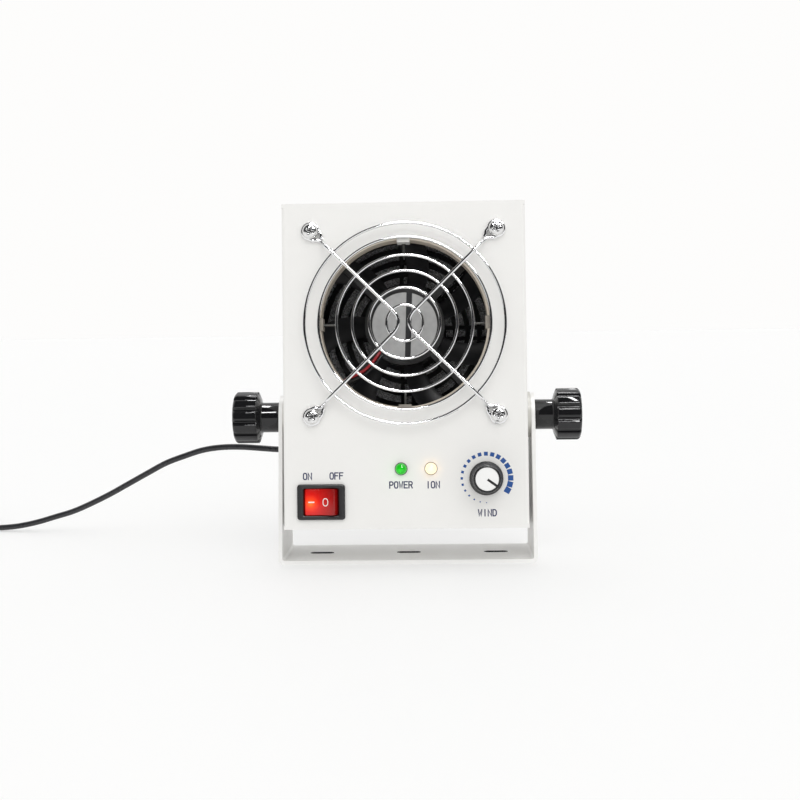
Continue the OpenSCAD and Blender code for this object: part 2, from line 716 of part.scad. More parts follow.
module plug_relief() color("#1a1a1a") on_blower() translate([jack_x - 13, plug_y, jack_z]) rotate([0, -90, 0]) cylinder(r1 = 3.4, r2 = 2.2, h = 16);

module cord_lead() color("#2c2c2e") on_blower() xcyl(end_r, seam_x, jack_x - 29, plug_y, jack_z);

// World position of the plug's outlet line.
out_y = plug_y * cos(lean) + jack_z * sin(lean);
out_z = pivot_h - plug_y * sin(lean) + jack_z * cos(lean);

run_pts = [[seam_x - 0.3, out_y, out_z], [-77, out_y, out_z], [-86, 46, 60.3], [-97, 48, 61], [-109, 51, 61.5],
    [-122, 54.5, 61], [-134.5, 58, 59], [-147, 62, 55], [-160.5, 66, 50], [-174, 71, 43], [-188, 76, 35.5],
    [-202, 81, 28], [-216.5, 86, 21], [-230.5, 90, 15], [-245, 94, 10.5], [-258.5, 97, 6.5], [-272.5, 99, 3.6],
    [-286, 100.5, 2.3], [-297, 101.5, 2.1], [-308, coil_c[1] - out_r, 2.05], [-318, coil_c[1] - out_r, 2.05]];

tail_pts = [[coil_c[0] - out_r, 145, 9.65], [coil_c[0] - out_r, 147.5, 9.65], [coil_c[0] - out_r, 150, 9.65], [coil_c[0] - out_r, 158, 9.7],
    [-360.8, 168, 9.9], [-363.2, 176.8, 10.3], [-369.6, 183.2, 10.9], [-378.4, 185.6, 11.5], [-387.2, 183.2, 12.1], [-393.6, 176.8, 12.7],
    [ad_c[0], 168, 13], [ad_c[0], 166, 13], [ad_c[0], 164.05, 13]];

function unit(v) = v / norm(v);
function clampi(i, n) = max(0, min(n, i));
// Points on a smooth curve through p, k steps to each span.
function spline(p, k) = [for (i = [0:len(p) - 2]) for (j = [0:k - 1])
    let (t = j / k, a = p[clampi(i - 1, len(p) - 1)], b = p[i], c = p[i + 1], d = p[clampi(i + 2, len(p) - 1)])
    0.5 * (2 * b + (c - a) * t + (2 * a - 5 * b + 4 * c - d) * t * t + (3 * b - a - 3 * c + d) * t * t * t),
    p[len(p) - 1]];
function tangent(p, i) = unit(p[min(i + 1, len(p) - 1)] - p[max(i - 1, 0)]);
// One ring of the tube, square to the route.
function ring(p, i, r, n) = let (t = tangent(p, i), u = unit(cross([0, 0, 1], t)), v = cross(t, u))
    [for (k = [0:n - 1]) p[i] + r * (cos(360 / n * (k + 0.5)) * u + sin(360 / n * (k + 0.5)) * v)];

// A round tube along a route.
module tube(p, r, n = 8) {
    m = len(p);
    pts = [for (i = [0:m - 1]) each ring(p, i, r, n)];
    sides = [for (i = [0:m - 2]) for (k = [0:n - 1]) let (a = i * n + k, b = i * n + (k + 1) % n) [a, a + n, b + n, b]];
    polyhedron(concat(pts), concat([[for (k = [0:n - 1]) k]], sides, [[for (k = [n - 1:-1:0]) (m - 1) * n + k]]), convexity = 6);
}

module cord_run() color("#2c2c2e") tube(spline(run_pts, 2), end_r);
module cord_tail() color("#2c2c2e") tube(spline(tail_pts, 2), end_r);

// Coil of three layers by three turns as one ring, with the first and the
// last turn leaving it in a straight line.
module cord_coil() color("#2c2c2e") {
    translate([coil_c[0], coil_c[1], 0]) rotate_extrude() translate([coil_r - 5.7, 0.1]) square([11.4, 11.6]);
    xcyl(end_r, coil_c[0], -318.02, coil_c[1] - out_r, 2.05);
    ycyl(end_r, coil_c[1], 144.98, coil_c[0] - out_r, 9.65);
}

module cord_tie() color("#3a3a3a") translate([coil_c[0], coil_c[1], 0]) difference() {
    span([-2.2, coil_r - 7.4, 0], [2.2, coil_r + 7.4, 13.4]);
    rotate_extrude() translate([coil_r - 5.75, 0.05]) square([11.5, 11.7]);
}

module power_adapter() {
    color("#1c1c1c") translate([ad_c[0], ad_c[1], 0]) {
        span([-23, -36, 0], [23, 36, 26]);
        translate([0, 0, 26]) span([-21, -34, 0], [21, 34, 3]);
    }
}

module adapter_relief() color("#1c1c1c") translate([ad_c[0], ad_c[1] + 36, 13]) rotate([-90, 0, 0]) cylinder(r1 = 3.2, r2 = 2.2, h = 9.98);

module adapter_pins() color("silver") for (s = [-1, 1]) span([ad_c[0] + s * 6.35 - 0.75, ad_c[1] + 10, 29], [ad_c[0] + s * 6.35 + 0.75, ad_c[1] + 16.3, 46]);

bracket();
pivot_spacers();
knob_left();
knob_left_stud();
knob_right();
knob_right_stud();
front_shell();
rear_cover();
cover_screws();
cover_nuts();
pivot_nuts();
fan_guard();
guard_screws();
guard_nuts();
emitter_frame();
needle_sockets();
emitter_needles();
hv_leads();
hv_module();
fan_frame();
fan_bearings();
fan_stator();
fan_hub_cover();
fan_wires();
fan_impeller();
fan_magnet();
fan_shaft();
control_board();
board_parts();
board_standoffs();
board_screws();
potentiometer();
pot_nut();
pot_shaft();
speed_knob();
speed_knob_cap();
power_lamp();
ion_lamp();
switch_housing();
switch_terminals();
rocker_button();
dc_jack();
jack_nut();
ground_terminal();
filter_base();
filter_screws();
filter_nuts();
filter_foam();
filter_cover();
dc_plug();
plug_relief();
cord_lead();
cord_run();
cord_coil();
cord_tie();
cord_tail();
adapter_relief();
power_adapter();
adapter_pins();
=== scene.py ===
import math

import bmesh
import bpy
from mathutils import Matrix, Vector


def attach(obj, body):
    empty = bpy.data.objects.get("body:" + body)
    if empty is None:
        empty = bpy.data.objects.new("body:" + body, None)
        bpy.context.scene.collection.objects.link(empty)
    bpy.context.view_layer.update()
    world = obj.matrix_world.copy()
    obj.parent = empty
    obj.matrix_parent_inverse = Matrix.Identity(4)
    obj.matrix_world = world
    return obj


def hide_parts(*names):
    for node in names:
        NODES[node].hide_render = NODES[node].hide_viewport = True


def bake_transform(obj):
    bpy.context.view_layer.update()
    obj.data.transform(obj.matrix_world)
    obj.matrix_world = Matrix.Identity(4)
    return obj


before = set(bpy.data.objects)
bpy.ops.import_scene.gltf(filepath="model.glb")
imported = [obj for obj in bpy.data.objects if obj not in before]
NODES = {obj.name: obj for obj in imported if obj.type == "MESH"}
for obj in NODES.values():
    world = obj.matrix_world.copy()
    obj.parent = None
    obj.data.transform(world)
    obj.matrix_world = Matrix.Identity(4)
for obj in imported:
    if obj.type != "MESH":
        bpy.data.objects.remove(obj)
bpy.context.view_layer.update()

RAD = math.radians

# ------------------------------------------------------------------ frame
# Lengths in the housing's own frame are millimetres; B() takes them to the row frame.
LEAN = RAD(5)
PIVOT = Vector((0, 0, 0.084))
MB = Matrix.Translation(PIVOT) @ Matrix.Rotation(-LEAN, 4, "X")
ROW = Matrix.Identity(4)
HW, YF, YR, ZB, ZT = 69.0, -37.5, 37.5, -64.0, 120.5
FZ, GP = 52.0, 52.5
FAN0 = -24.3


def B(p):
    return MB @ (Vector(p) * 0.001)


# ------------------------------------------------------------------ camera
yaw, pitch, roll = 0.0338, -0.0605, -0.0147
cam_d = bpy.data.cameras.new("camera")
cam = bpy.data.objects.new("camera", cam_d)
bpy.context.scene.collection.objects.link(cam)
fwd = Vector((-math.sin(yaw) * math.cos(pitch), math.cos(yaw) * math.cos(pitch), math.sin(pitch)))
right = Vector((math.cos(yaw), math.sin(yaw), 0))
up = right.cross(fwd)
r2 = math.cos(roll) * right + math.sin(roll) * up
u2 = -math.sin(roll) * right + math.cos(roll) * up
cam.matrix_world = Matrix.Translation((0.0195855, -0.6981275, 0.1357887)) @ Matrix((r2, u2, -fwd)).transposed().to_4x4()
cam_d.sensor_width = 36
cam_d.lens = 52.96
cam_d.clip_start, cam_d.clip_end = 0.02, 60
bpy.context.scene.camera = cam


# ------------------------------------------------------------------ materials
class Mat:
    """A Principled material with procedural detail in the piece's own coordinates, in metres."""

    def __init__(self, name, base, rough=0.5, metal=0.0, coat=0.0, coat_rough=0.03, spec=0.5, coords="Object"):
        self.m = bpy.data.materials.new(name)
        self.m.use_nodes = True
        self.nt = self.m.node_tree
        self.b = self.nt.nodes["Principled BSDF"]
        self.b.inputs["Base Color"].default_value = (*base, 1)
        self.b.inputs["Roughness"].default_value = rough
        self.b.inputs["Metallic"].default_value = metal
        self.b.inputs["Coat Weight"].default_value = coat
        self.b.inputs["Coat Roughness"].default_value = coat_rough
        self.b.inputs["Specular IOR Level"].default_value = spec
        self.src = self.nt.nodes.new("ShaderNodeTexCoord").outputs[coords]
        self.base = base

    def n(self, kind, **props):
        node = self.nt.nodes.new("ShaderNode" + kind)
        for k, v in props.items():
            setattr(node, k, v)
        return node

    def link(self, a, b):
        self.nt.links.new(a, b)

    def mapped(self, scale=(1, 1, 1), rot=(0, 0, 0), loc=(0, 0, 0)):
        m = self.n("Mapping")
        m.inputs["Scale"].default_value = scale
        m.inputs["Rotation"].default_value = rot
        m.inputs["Location"].default_value = loc
        self.link(self.src, m.inputs["Vector"])
        return m.outputs["Vector"]

    def noise(self, scale, detail=2.0, rough=0.5, distort=0.0, vec=None):
        t = self.n("TexNoise")
        t.inputs["Scale"].default_value = scale
        t.inputs["Detail"].default_value = detail
        t.inputs["Roughness"].default_value = rough
        t.inputs["Distortion"].default_value = distort
        self.link(vec or self.src, t.inputs["Vector"])
        return t.outputs["Fac"]

    def voronoi(self, scale, feature="F1", vec=None, rand=1.0):
        t = self.n("TexVoronoi", feature=feature)
        t.inputs["Scale"].default_value = scale
        t.inputs["Randomness"].default_value = rand
        self.link(vec or self.src, t.inputs["Vector"])
        return t.outputs["Distance"]

    def math(self, op, a, b=None, clamp=False):
        t = self.n("Math", operation=op, use_clamp=clamp)
        for i, v in enumerate((a, b)):
            if v is None:
                continue
            if isinstance(v, (int, float)):
                t.inputs[i].default_value = v
            else:
                self.link(v, t.inputs[i])
        return t.outputs[0]

    def xyz(self, vec=None):
        s = self.n("SeparateXYZ")
        self.link(vec or self.src, s.inputs[0])
        return s.outputs

    def ramp(self, fac, stops, interp="LINEAR"):
        r = self.n("ValToRGB")
        r.color_ramp.interpolation = interp
        els = r.color_ramp.elements
        while len(els) < len(stops):
            els.new(0.5)
        for e, (p, c) in zip(els, stops):
            e.position = p
            e.color = (*c, 1) if len(c) == 3 else c
        self.link(fac, r.inputs["Fac"])
        return r.outputs["Color"]

    def colour(self, out):
        self.link(out, self.b.inputs["Base Color"])
        return self

    def vary(self, scale, amount, detail=3.0, vec=None):
        """Base colour drifting a little lighter and darker."""
        f = self.noise(scale, detail, vec=vec)
        lo = tuple(c * (1 - amount) for c in self.base)
        hi = tuple(min(1, c * (1 + amount)) for c in self.base)
        return self.colour(self.ramp(f, [(0.3, lo), (0.7, hi)]))

    def rough(self, fac, lo, hi):
        m = self.n("MapRange")
        m.inputs["To Min"].default_value = lo
        m.inputs["To Max"].default_value = hi
        m.inputs["From Min"].default_value = 0.3
        m.inputs["From Max"].default_value = 0.7
        self.link(fac, m.inputs["Value"])
        self.link(m.outputs["Result"], self.b.inputs["Roughness"])
        return self

    def bump(self, fac, strength=0.3, distance=0.0001):
        b = self.n("Bump")
        b.inputs["Strength"].default_value = strength
        b.inputs["Distance"].default_value = distance
        self.link(fac, b.inputs["Height"])
        old = self.b.inputs["Normal"].links
        if old:
            self.link(old[0].from_socket, b.inputs["Normal"])
        self.link(b.outputs["Normal"], self.b.inputs["Normal"])
        return self


def plain(name, base, rough, metal=0.0, grain=900, bump=0.15, dist=0.00004, var=0.05, var_scale=60, dr=0.06, **kw):
    m = Mat(name, base, rough, metal, **kw)
    m.vary(var_scale, var)
    m.rough(m.noise(var_scale * 3, 3), max(0.02, rough - dr), rough + dr)
    m.bump(m.noise(grain, 2), bump, dist)
    return m


# white powder coat: fine orange peel with a faint larger waviness
POWDER = Mat("powder_coat_white", (0.845, 0.838, 0.818), 0.42)
POWDER.vary(22, 0.010)
POWDER.rough(POWDER.noise(180, 4), 0.36, 0.48)
POWDER.bump(POWDER.noise(160, 2), 0.10, 0.0003)
POWDER.bump(POWDER.noise(1500, 3, 0.6), 0.22, 0.00005)

KNOB = Mat("knob_gloss_black", (0.010, 0.010, 0.011), 0.16, coat=0.0)
KNOB.rough(KNOB.noise(420, 4, 0.6), 0.035, 0.085)
KNOB.bump(KNOB.noise(140, 2), 0.05, 0.0002)

BLACK = plain("black_matte_plastic", (0.020, 0.020, 0.021), 0.42, grain=2600, bump=0.25, dist=0.00003)
FANBLK = plain("fan_black_plastic", (0.010, 0.010, 0.010), 0.36, grain=1200, bump=0.12, dist=0.00003)
BLADE = plain("fan_blade_plastic", (0.027, 0.027, 0.029), 0.34, grain=700, bump=0.10, dist=0.00004)
GRILLE = plain("filter_black_plastic", (0.007, 0.007, 0.007), 0.50, grain=1800, bump=0.2, dist=0.00003)

CHROME = Mat("bright_wire_chrome", (0.86, 0.86, 0.87), 0.07, 1.0)
CHROME.rough(CHROME.noise(600, 3), 0.05, 0.12)
CHROME.bump(CHROME.noise(900, 2), 0.04, 0.00003)
SCREW = Mat("screw_nickel", (0.80, 0.80, 0.80), 0.14, 1.0)
SCREW.vary(400, 0.05)
SCREW.rough(SCREW.noise(900, 3), 0.10, 0.24)
SCREW.bump(SCREW.noise(1800, 2), 0.08, 0.00003)
ZINC = plain("zinc_plated_steel", (0.62, 0.63, 0.64), 0.30, 1.0, grain=1500, bump=0.12, dist=0.00003, var=0.08, var_scale=250)
BRASS = plain("brass_bright", (0.78, 0.60, 0.28), 0.26, 1.0, grain=1500, bump=0.12, dist=0.00003, var=0.08, var_scale=250)
COPPER = Mat("copper_winding", (0.55, 0.24, 0.12), 0.35, 0.8)
COPPER.bump(COPPER.noise(2200, 1, vec=COPPER.mapped((0.15, 1, 1))), 0.5, 0.0001)
COPPER.vary(500, 0.15)
# emitter ring: light beige plastic, darkened to a tan as painted shade for its inner wall inside the opening
BEIGE = plain("emitter_plastic_shaded_tan", (0.60, 0.535, 0.45), 0.45, grain=1500, bump=0.15, dist=0.00004, var=0.03)
WHITE = plain("white_plastic", (0.80, 0.79, 0.76), 0.36, grain=1400, bump=0.12, dist=0.00003, var=0.02)
NYLON = plain("spacer_nylon", (0.62, 0.61, 0.57), 0.42, grain=1500, bump=0.15, dist=0.00004, var=0.03)
NEEDLE = plain("needle_steel", (0.10, 0.10, 0.095), 0.40, 0.5, grain=2500, bump=0.1, dist=0.00002)
BOARD = Mat("board_green", (0.02, 0.15, 0.06), 0.30)
BOARD.colour(BOARD.ramp(BOARD.voronoi(260, "DISTANCE_TO_EDGE"), [(0.0, (0.03, 0.24, 0.09)), (0.06, (0.02, 0.14, 0.055))], "CONSTANT"))
BOARD.bump(BOARD.noise(500, 2), 0.2, 0.00005)
PARTS = plain("part_grey", (0.06, 0.06, 0.065), 0.4, grain=1500)
POTTING = plain("potting_grey", (0.05, 0.05, 0.055), 0.5, grain=1200)
ORANGE = plain("lead_orange", (0.55, 0.13, 0.03), 0.38)
MAGNET = plain("magnet_grey", (0.09, 0.09, 0.10), 0.55, 0.6, grain=2000, bump=0.3)

# silver foil disc on the motor plate, with one dark printed bar
FOIL = Mat("hub_foil", (0.50, 0.50, 0.50), 0.34, 0.35)
_v = FOIL.mapped(rot=(0, RAD(-2.0), 0))
_x = FOIL.xyz(_v)[0]
_bar = FOIL.math("LESS_THAN", FOIL.math("ABSOLUTE", FOIL.math("SUBTRACT", _x, 0.0022)), 0.00165)
_mix = FOIL.n("Mix", data_type="RGBA")
FOIL.link(_bar, _mix.inputs["Factor"])
FOIL.link(FOIL.ramp(FOIL.noise(220, 4), [(0.3, (0.46, 0.46, 0.46)), (0.7, (0.54, 0.54, 0.535))]), _mix.inputs["A"])
_mix.inputs["B"].default_value = (0.035, 0.035, 0.038, 1)
FOIL.colour(_mix.outputs["Result"])
FOIL.rough(FOIL.noise(900, 3), 0.28, 0.42)
FOIL.bump(FOIL.noise(300, 3), 0.15, 0.0001)

# open cell foam, its cells painted far lighter than the dark foam itself, as painted light inside the fan
FOAM = Mat("filter_foam", (0.05, 0.05, 0.052), 0.95, spec=0.15)
_c = FOAM.voronoi(1250, "F1")
# pale grey to near white cells: painted light
FOAM.colour(FOAM.ramp(_c, [(0.10, (0.10, 0.10, 0.105)), (0.38, (0.45, 0.45, 0.46)), (0.75, (0.85, 0.85, 0.87))]))
FOAM.bump(_c, 0.8, 0.0006)
FOAM.bump(FOAM.noise(2600, 3), 0.5, 0.0002)

# black flexible sheath: slightly glossy, faint draw lines, a little dust
CORD = Mat("cord_sheath", (0.022, 0.022, 0.025), 0.30, spec=0.5)
CORD.vary(160, 0.18)
CORD.rough(CORD.noise(500, 4), 0.24, 0.38)
CORD.bump(CORD.noise(1100, 3), 0.12, 0.00006)
TIE = plain("tie_black", (0.018, 0.018, 0.018), 0.45, grain=1800)
ADAPT = Mat("adapter_black", (0.016, 0.016, 0.017), 0.45)
ADAPT.rough(ADAPT.noise(300, 3), 0.40, 0.52)
ADAPT.bump(ADAPT.voronoi(1600), 0.25, 0.00005)

NAVY = plain("print_navy", (0.006, 0.013, 0.095), 0.45, grain=2200, bump=0.05)
BLUE = plain("print_blue", (0.008, 0.080, 0.32), 0.42, grain=2200, bump=0.05)
PRINTW = plain("print_white", (0.85, 0.78, 0.74), 0.4, grain=2200, bump=0.05)
CAPW = plain("cap_white", (0.88, 0.88, 0.87), 0.32, grain=1500, bump=0.08, var=0.01)
DIALB = Mat("dial_black", (0.016, 0.016, 0.017), 0.28)
DIALB.rough(DIALB.noise(700, 3), 0.22, 0.36)
DIALB.bump(DIALB.noise(1600, 2), 0.12, 0.00003)

# lit red rocker: hot spot of the lamp under the pressed end
RED = Mat("rocker_red_lit", (0.55, 0.012, 0.008), 0.16, coat=0.0)
_p = RED.mapped(loc=(0.0052, 0, 0.0002))
_d = RED.n("VectorMath", operation="LENGTH")
RED.link(RED.mapped((1, 0.0, 1), loc=(0.0052, 0, 0.0008)), _d.inputs[0])
_dist = _d.outputs["Value"]
RED.colour(RED.ramp(RED.math("MULTIPLY", _dist, 60.0), [(0.0, (0.80, 0.10, 0.02)), (0.30, (0.46, 0.008, 0.006)), (1.0, (0.20, 0.003, 0.003))]))
RED.link(RED.ramp(RED.math("MULTIPLY", _dist, 60.0), [(0.0, (1.0, 0.22, 0.01)), (0.07, (1.0, 0.12, 0.006)), (0.15, (0.75, 0.010, 0.002)), (0.45, (0.28, 0.002, 0.001)), (0.9, (0.05, 0.0, 0.0))]), RED.b.inputs["Emission Color"])
RED.b.inputs["Emission Strength"].default_value = 0.62
RED.rough(RED.noise(500, 3), 0.12, 0.22)

# lit lamps: brightest in the middle, deeper colour to the rim
def lamp_mat(name, mid, rim, edge, strength, base):
    m = Mat(name, base, 0.10)
    d = m.n("VectorMath", operation="LENGTH")
    m.link(m.mapped((1, 0.0, 1)), d.inputs[0])
    f = m.math("MULTIPLY", d.outputs["Value"], 1 / 0.0034)
    m.link(m.ramp(f, [(0.0, mid), (0.62, rim), (0.86, rim), (0.98, edge)]), m.b.inputs["Emission Color"])
    m.b.inputs["Emission Strength"].default_value = strength
    m.rough(m.noise(300, 2), 0.06, 0.14)
    m.bump(m.noise(500, 2), 0.04, 0.00005)
    return m


GREEN = lamp_mat("lamp_green_lit", (0.01, 0.66, 0.012), (0.002, 0.50, 0.006), (0.0, 0.06, 0.002), 0.72, (0.01, 0.16, 0.012))
CREAM = lamp_mat("lamp_ion_lit", (1.0, 0.95, 0.80), (1.0, 0.88, 0.62), (1.0, 0.76, 0.46), 0.90, (0.35, 0.30, 0.20))


def paint(obj, mat):
    obj.data.materials.clear()
    obj.data.materials.append(mat.m)
    return obj


# ------------------------------------------------------------------ mesh tools
def put(name, verts, faces, mat, body, at=(0, 0, 0), M=MB, rot=None, sharp=32, smooth=True):
    """A mesh in millimetres about the point at, in M's frame, riding on a body."""
    me = bpy.data.meshes.new(name)
    me.from_pydata([Vector(v) * 0.001 for v in verts], [], faces)
    bm = bmesh.new()
    bm.from_mesh(me)
    bmesh.ops.remove_doubles(bm, verts=bm.verts, dist=1e-7)
    bmesh.ops.recalc_face_normals(bm, faces=bm.faces)
    bm.to_mesh(me)
    bm.free()
    o = bpy.data.objects.new(name, me)
    bpy.context.scene.collection.objects.link(o)
    T = Matrix.Translation(Vector(at) * 0.001)
    o.matrix_world = M @ T @ (rot or Matrix.Identity(4))
    me.polygons.foreach_set("use_smooth", [smooth] * len(me.polygons))
    if smooth:
        me.set_sharp_from_angle(angle=RAD(sharp))
    paint(o, mat)
    if body:
        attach(o, body)
    return o


def join(parts):
    """Several (verts, faces) as one."""
    V, F = [], []
    for v, f in parts:
        k = len(V)
        V += list(v)
        F += [[i + k for i in q] for q in f]
    return V, F


def lathe(profile, n=64, axis="y"):
    """Revolves (radius, position) points about an axis. A profile that starts and ends at radius 0 is closed."""
    V, rows = [], []
    for r, a in profile:
        if r < 1e-6:
            rows.append([len(V)])
            V.append({"y": (0, a, 0), "x": (a, 0, 0), "z": (0, 0, a)}[axis])
        else:
            rows.append(list(range(len(V), len(V) + n)))
            for k in range(n):
                t = 2 * math.pi * k / n
                c, s = r * math.cos(t), r * math.sin(t)
                V.append({"y": (c, a, s), "x": (a, c, s), "z": (c, s, a)}[axis])
    F = []
    for A, C in zip(rows, rows[1:]):
        for k in range(n):
            a, b = A[k % len(A)], A[(k + 1) % len(A)]
            c, d = C[(k + 1) % len(C)], C[k % len(C)]
            q = []
            for i in (a, b, c, d):
                if i not in q:
                    q.append(i)
            if len(q) > 2:
                F.append(q)
    return V, F


def closed_lathe(profile, n=64, axis="y"):
    """A ring: the profile is a closed loop off the axis."""
    return lathe(list(profile) + [profile[0]], n, axis)


def frames(P, closed=False):
    """Parallel transport frames along a polyline."""
    n = len(P)
    T = []
    for i in range(n):
        a = P[(i - 1) % n] if closed or i > 0 else P[i]
        b = P[(i + 1) % n] if closed or i < n - 1 else P[i]
        T.append((b - a).normalized())
    ref = Vector((0, 0, 1)) if abs(T[0].z) < 0.9 else Vector((1, 0, 0))
    U = [(ref - T[0] * ref.dot(T[0])).normalized()]
    for i in range(1, n):
        q = T[i - 1].rotation_difference(T[i])
        u = q @ U[-1]
        U.append((u - T[i] * u.dot(T[i])).normalized())
    return T, U


def tube(P, r, n=14, closed=False, shape=None):
    """A swept tube. r is a number or one per point; shape is a section as (u, v) points."""
    P = [Vector(p) for p in P]
    T, U = frames(P, closed)
    if closed:  # spread the closing twist
        q = T[-1].rotation_difference(T[0])
        u = q @ U[-1]
        ang = math.atan2(T[0].dot(u.cross(U[0])), u.dot(U[0]))
        U = [Matrix.Rotation(ang * i / len(P), 3, T[i]) @ U[i] for i in range(len(P))]
    sec = shape or [(math.cos(2 * math.pi * k / n), math.sin(2 * math.pi * k / n)) for k in range(n)]
    m = len(sec)
    V = []
    for i, p in enumerate(P):
        ri = r[i] if isinstance(r, (list, tuple)) else r
        W = T[i].cross(U[i])
        for a, b in sec:
            V.append(p + ri * (a * U[i] + b * W))
    F = []
    L = len(P)
    for i in range(L if closed else L - 1):
        for k in range(m):
            a, b = i * m + k, i * m + (k + 1) % m
            j = (i + 1) % L
            F.append([a, b, j * m + (k + 1) % m, j * m + k])
    if not closed:
        F.append(list(range(m))[::-1])
        F.append([(L - 1) * m + k for k in range(m)])
    return V, F


def spline(P, k=6, closed=False):
    """Catmull-Rom through the points."""
    P = [Vector(p) for p in P]
    n = len(P)
    out = []
    for i in range(n if closed else n - 1):
        if closed:
            a, b, c, d = P[(i - 1) % n], P[i], P[(i + 1) % n], P[(i + 2) % n]
        else:
            a, b, c, d = P[max(i - 1, 0)], P[i], P[i + 1], P[min(i + 2, n - 1)]
        for j in range(k):
            t = j / k
            out.append(0.5 * (2 * b + (c - a) * t + (2 * a - 5 * b + 4 * c - d) * t * t + (3 * b - a - 3 * c + d) * t ** 3))
    if not closed:
        out.append(P[-1])
    return out


def fillet(P, r, k=6):
    """A polyline with its corners rounded to radius r (one value or one per point)."""
    P = [Vector(p) for p in P]
    out = [P[0]]
    for i in range(1, len(P) - 1):
        ri = r[i] if isinstance(r, (list, tuple)) else r
        a, b, c = P[i - 1], P[i], P[i + 1]
        u, v = (a - b), (c - b)
        half = u.angle(v) / 2
        d = min(ri / math.tan(half), u.length * 0.49, v.length * 0.49)
        s, e = b + u.normalized() * d, b + v.normalized() * d
        for j in range(k + 1):
            t = j / k
            out.append((1 - t) ** 2 * s + 2 * t * (1 - t) * b + t * t * e)
    out.append(P[-1])
    return out


def loft(loops, cap=True):
    """Joins loops of equal length."""
    m = len(loops[0])
    V = [p for l in loops for p in l]
    F = []
    for i in range(len(loops) - 1):
        for k in range(m):
            a, b = i * m + k, i * m + (k + 1) % m
            F.append([a, b, b + m, a + m])
    if cap:
        F.append(list(range(m))[::-1])
        F.append([(len(loops) - 1) * m + k for k in range(m)])
    return V, F


def rrect(w, h, r, k=5):
    """Points of a rectangle with round corners."""
    r = max(min(r, w / 2 - 1e-3, h / 2 - 1e-3), 1e-3)
    out = []
    for cx, cy, a0 in ((w / 2 - r, h / 2 - r, 0), (-w / 2 + r, h / 2 - r, 90), (-w / 2 + r, -h / 2 + r, 180), (w / 2 - r, -h / 2 + r, 270)):
        for j in range(k + 1):
            t = RAD(a0 + 90 * j / k)
            out.append((cx + r * math.cos(t), cy + r * math.sin(t)))
    return out


def block(size, r=0.5, k=3, centre=(0, 0, 0)):
    """A box with rounded edges, as (verts, faces)."""
    bm = bmesh.new()
    bmesh.ops.create_cube(bm, size=1)
    for v in bm.verts:
        v.co = Vector((v.co.x * size[0], v.co.y * size[1], v.co.z * size[2])) + Vector(centre)
    bmesh.ops.bevel(bm, geom=list(bm.edges), offset=r, segments=k, profile=0.5, affect="EDGES", clamp_overlap=True)
    V = [v.co.copy() for v in bm.verts]
    bm.verts.index_update()
    F = [[v.index for v in f.verts] for f in bm.faces]
    bm.free()
    return V, F


def moved(part, M):
    V, F = part
    return [M @ Vector(v) for v in V], F


# ------------------------------------------------------------------ cord
D = 3.8
COIL = Vector((-335, 128, 0))
R0, R1, R2 = 18.2, 22.0, 25.8
Z0, Z1, Z2 = 2.05, 5.85, 9.65
out_y = 47.1 * math.cos(LEAN) - 20 * math.sin(LEAN)
out_z = 84 - 47.1 * math.sin(LEAN) - 20 * math.cos(LEAN)
seam = -70.2
run = [(-67, out_y, out_z), (seam, out_y, out_z), (-77, out_y, out_z), (-86, 46, 60.3), (-97, 48, 61), (-109, 51, 61.5),
       (-122, 54.5, 61), (-134.5, 58, 59), (-147, 62, 55), (-160.5, 66, 50), (-174, 71, 43), (-188, 76, 35.5),
       (-202, 81, 28), (-216.5, 86, 21), (-230.5, 90, 15), (-245, 94, 10.5), (-258.5, 97, 6.5), (-272.5, 99, 3.6),
       (-286, 100.5, 2.3), (-297, 101.5, 2.1), (-308, 102.2, 2.05), (-318, 102.2, 2.05), (-327, 102.2, 2.05)]


def ease(t):
    t = max(0.0, min(1.0, t))
    return t * t * (3 - 2 * t)


def coil_at(t):
    """Radius and height of the lead's centre after t turns."""
    r = R2 - (R2 - R1) * ease((t - 0.80) / 0.20) - (R1 - R0) * ease((t - 1.80) / 0.20)
    r += (R1 - R0) * ease((t - 3.45) / 0.20) + (R2 - R1) * ease((t - 4.45) / 0.20)
    r += -(R2 - R1) * ease((t - 5.40) / 0.25) + (R2 - R1) * ease((t - 6.0) / 0.24)
    z = Z0 + (Z1 - Z0) * ease((t - 2.68) / 0.22) + (Z2 - Z1) * ease((t - 5.18) / 0.20)
    return r, z


TURNS = 6.25
coil = []
steps = int(TURNS * 28)
for i in range(steps + 1):
    t = TURNS * i / steps
    r, z = coil_at(t)
    a = -math.pi / 2 - 2 * math.pi * t
    coil.append((COIL.x + r * math.cos(a), COIL.y + r * math.sin(a), z))
tail = [(COIL.x - R2, 137, 9.65), (COIL.x - R2, 147, 9.65), (-360.8, 158, 9.7), (-360.8, 168, 9.9), (-363.2, 176.8, 10.3), (-369.6, 183.2, 10.9), (-378.4, 185.6, 11.5),
        (-387.2, 183.2, 12.1), (-393.6, 176.8, 12.7), (-396, 168, 13), (-396, 163, 13), (-396, 154, 13), (-396, 144, 13), (-396, 135, 13)]
route = spline(run, 5)[:-1] + [Vector(p) for p in coil[:-1]] + spline([coil[-1]] + tail, 4)
# keep the points apart
clean = [route[0]]
for p in route[1:]:
    if (p - clean[-1]).length > 0.8:
        clean.append(p)
route = clean
V, F = tube(route, D / 2, 16)
lead = put("power_lead", V, F, CORD, None, M=ROW, sharp=60)
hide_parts("cord_lead", "cord_run", "cord_coil", "cord_tail")
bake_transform(lead)

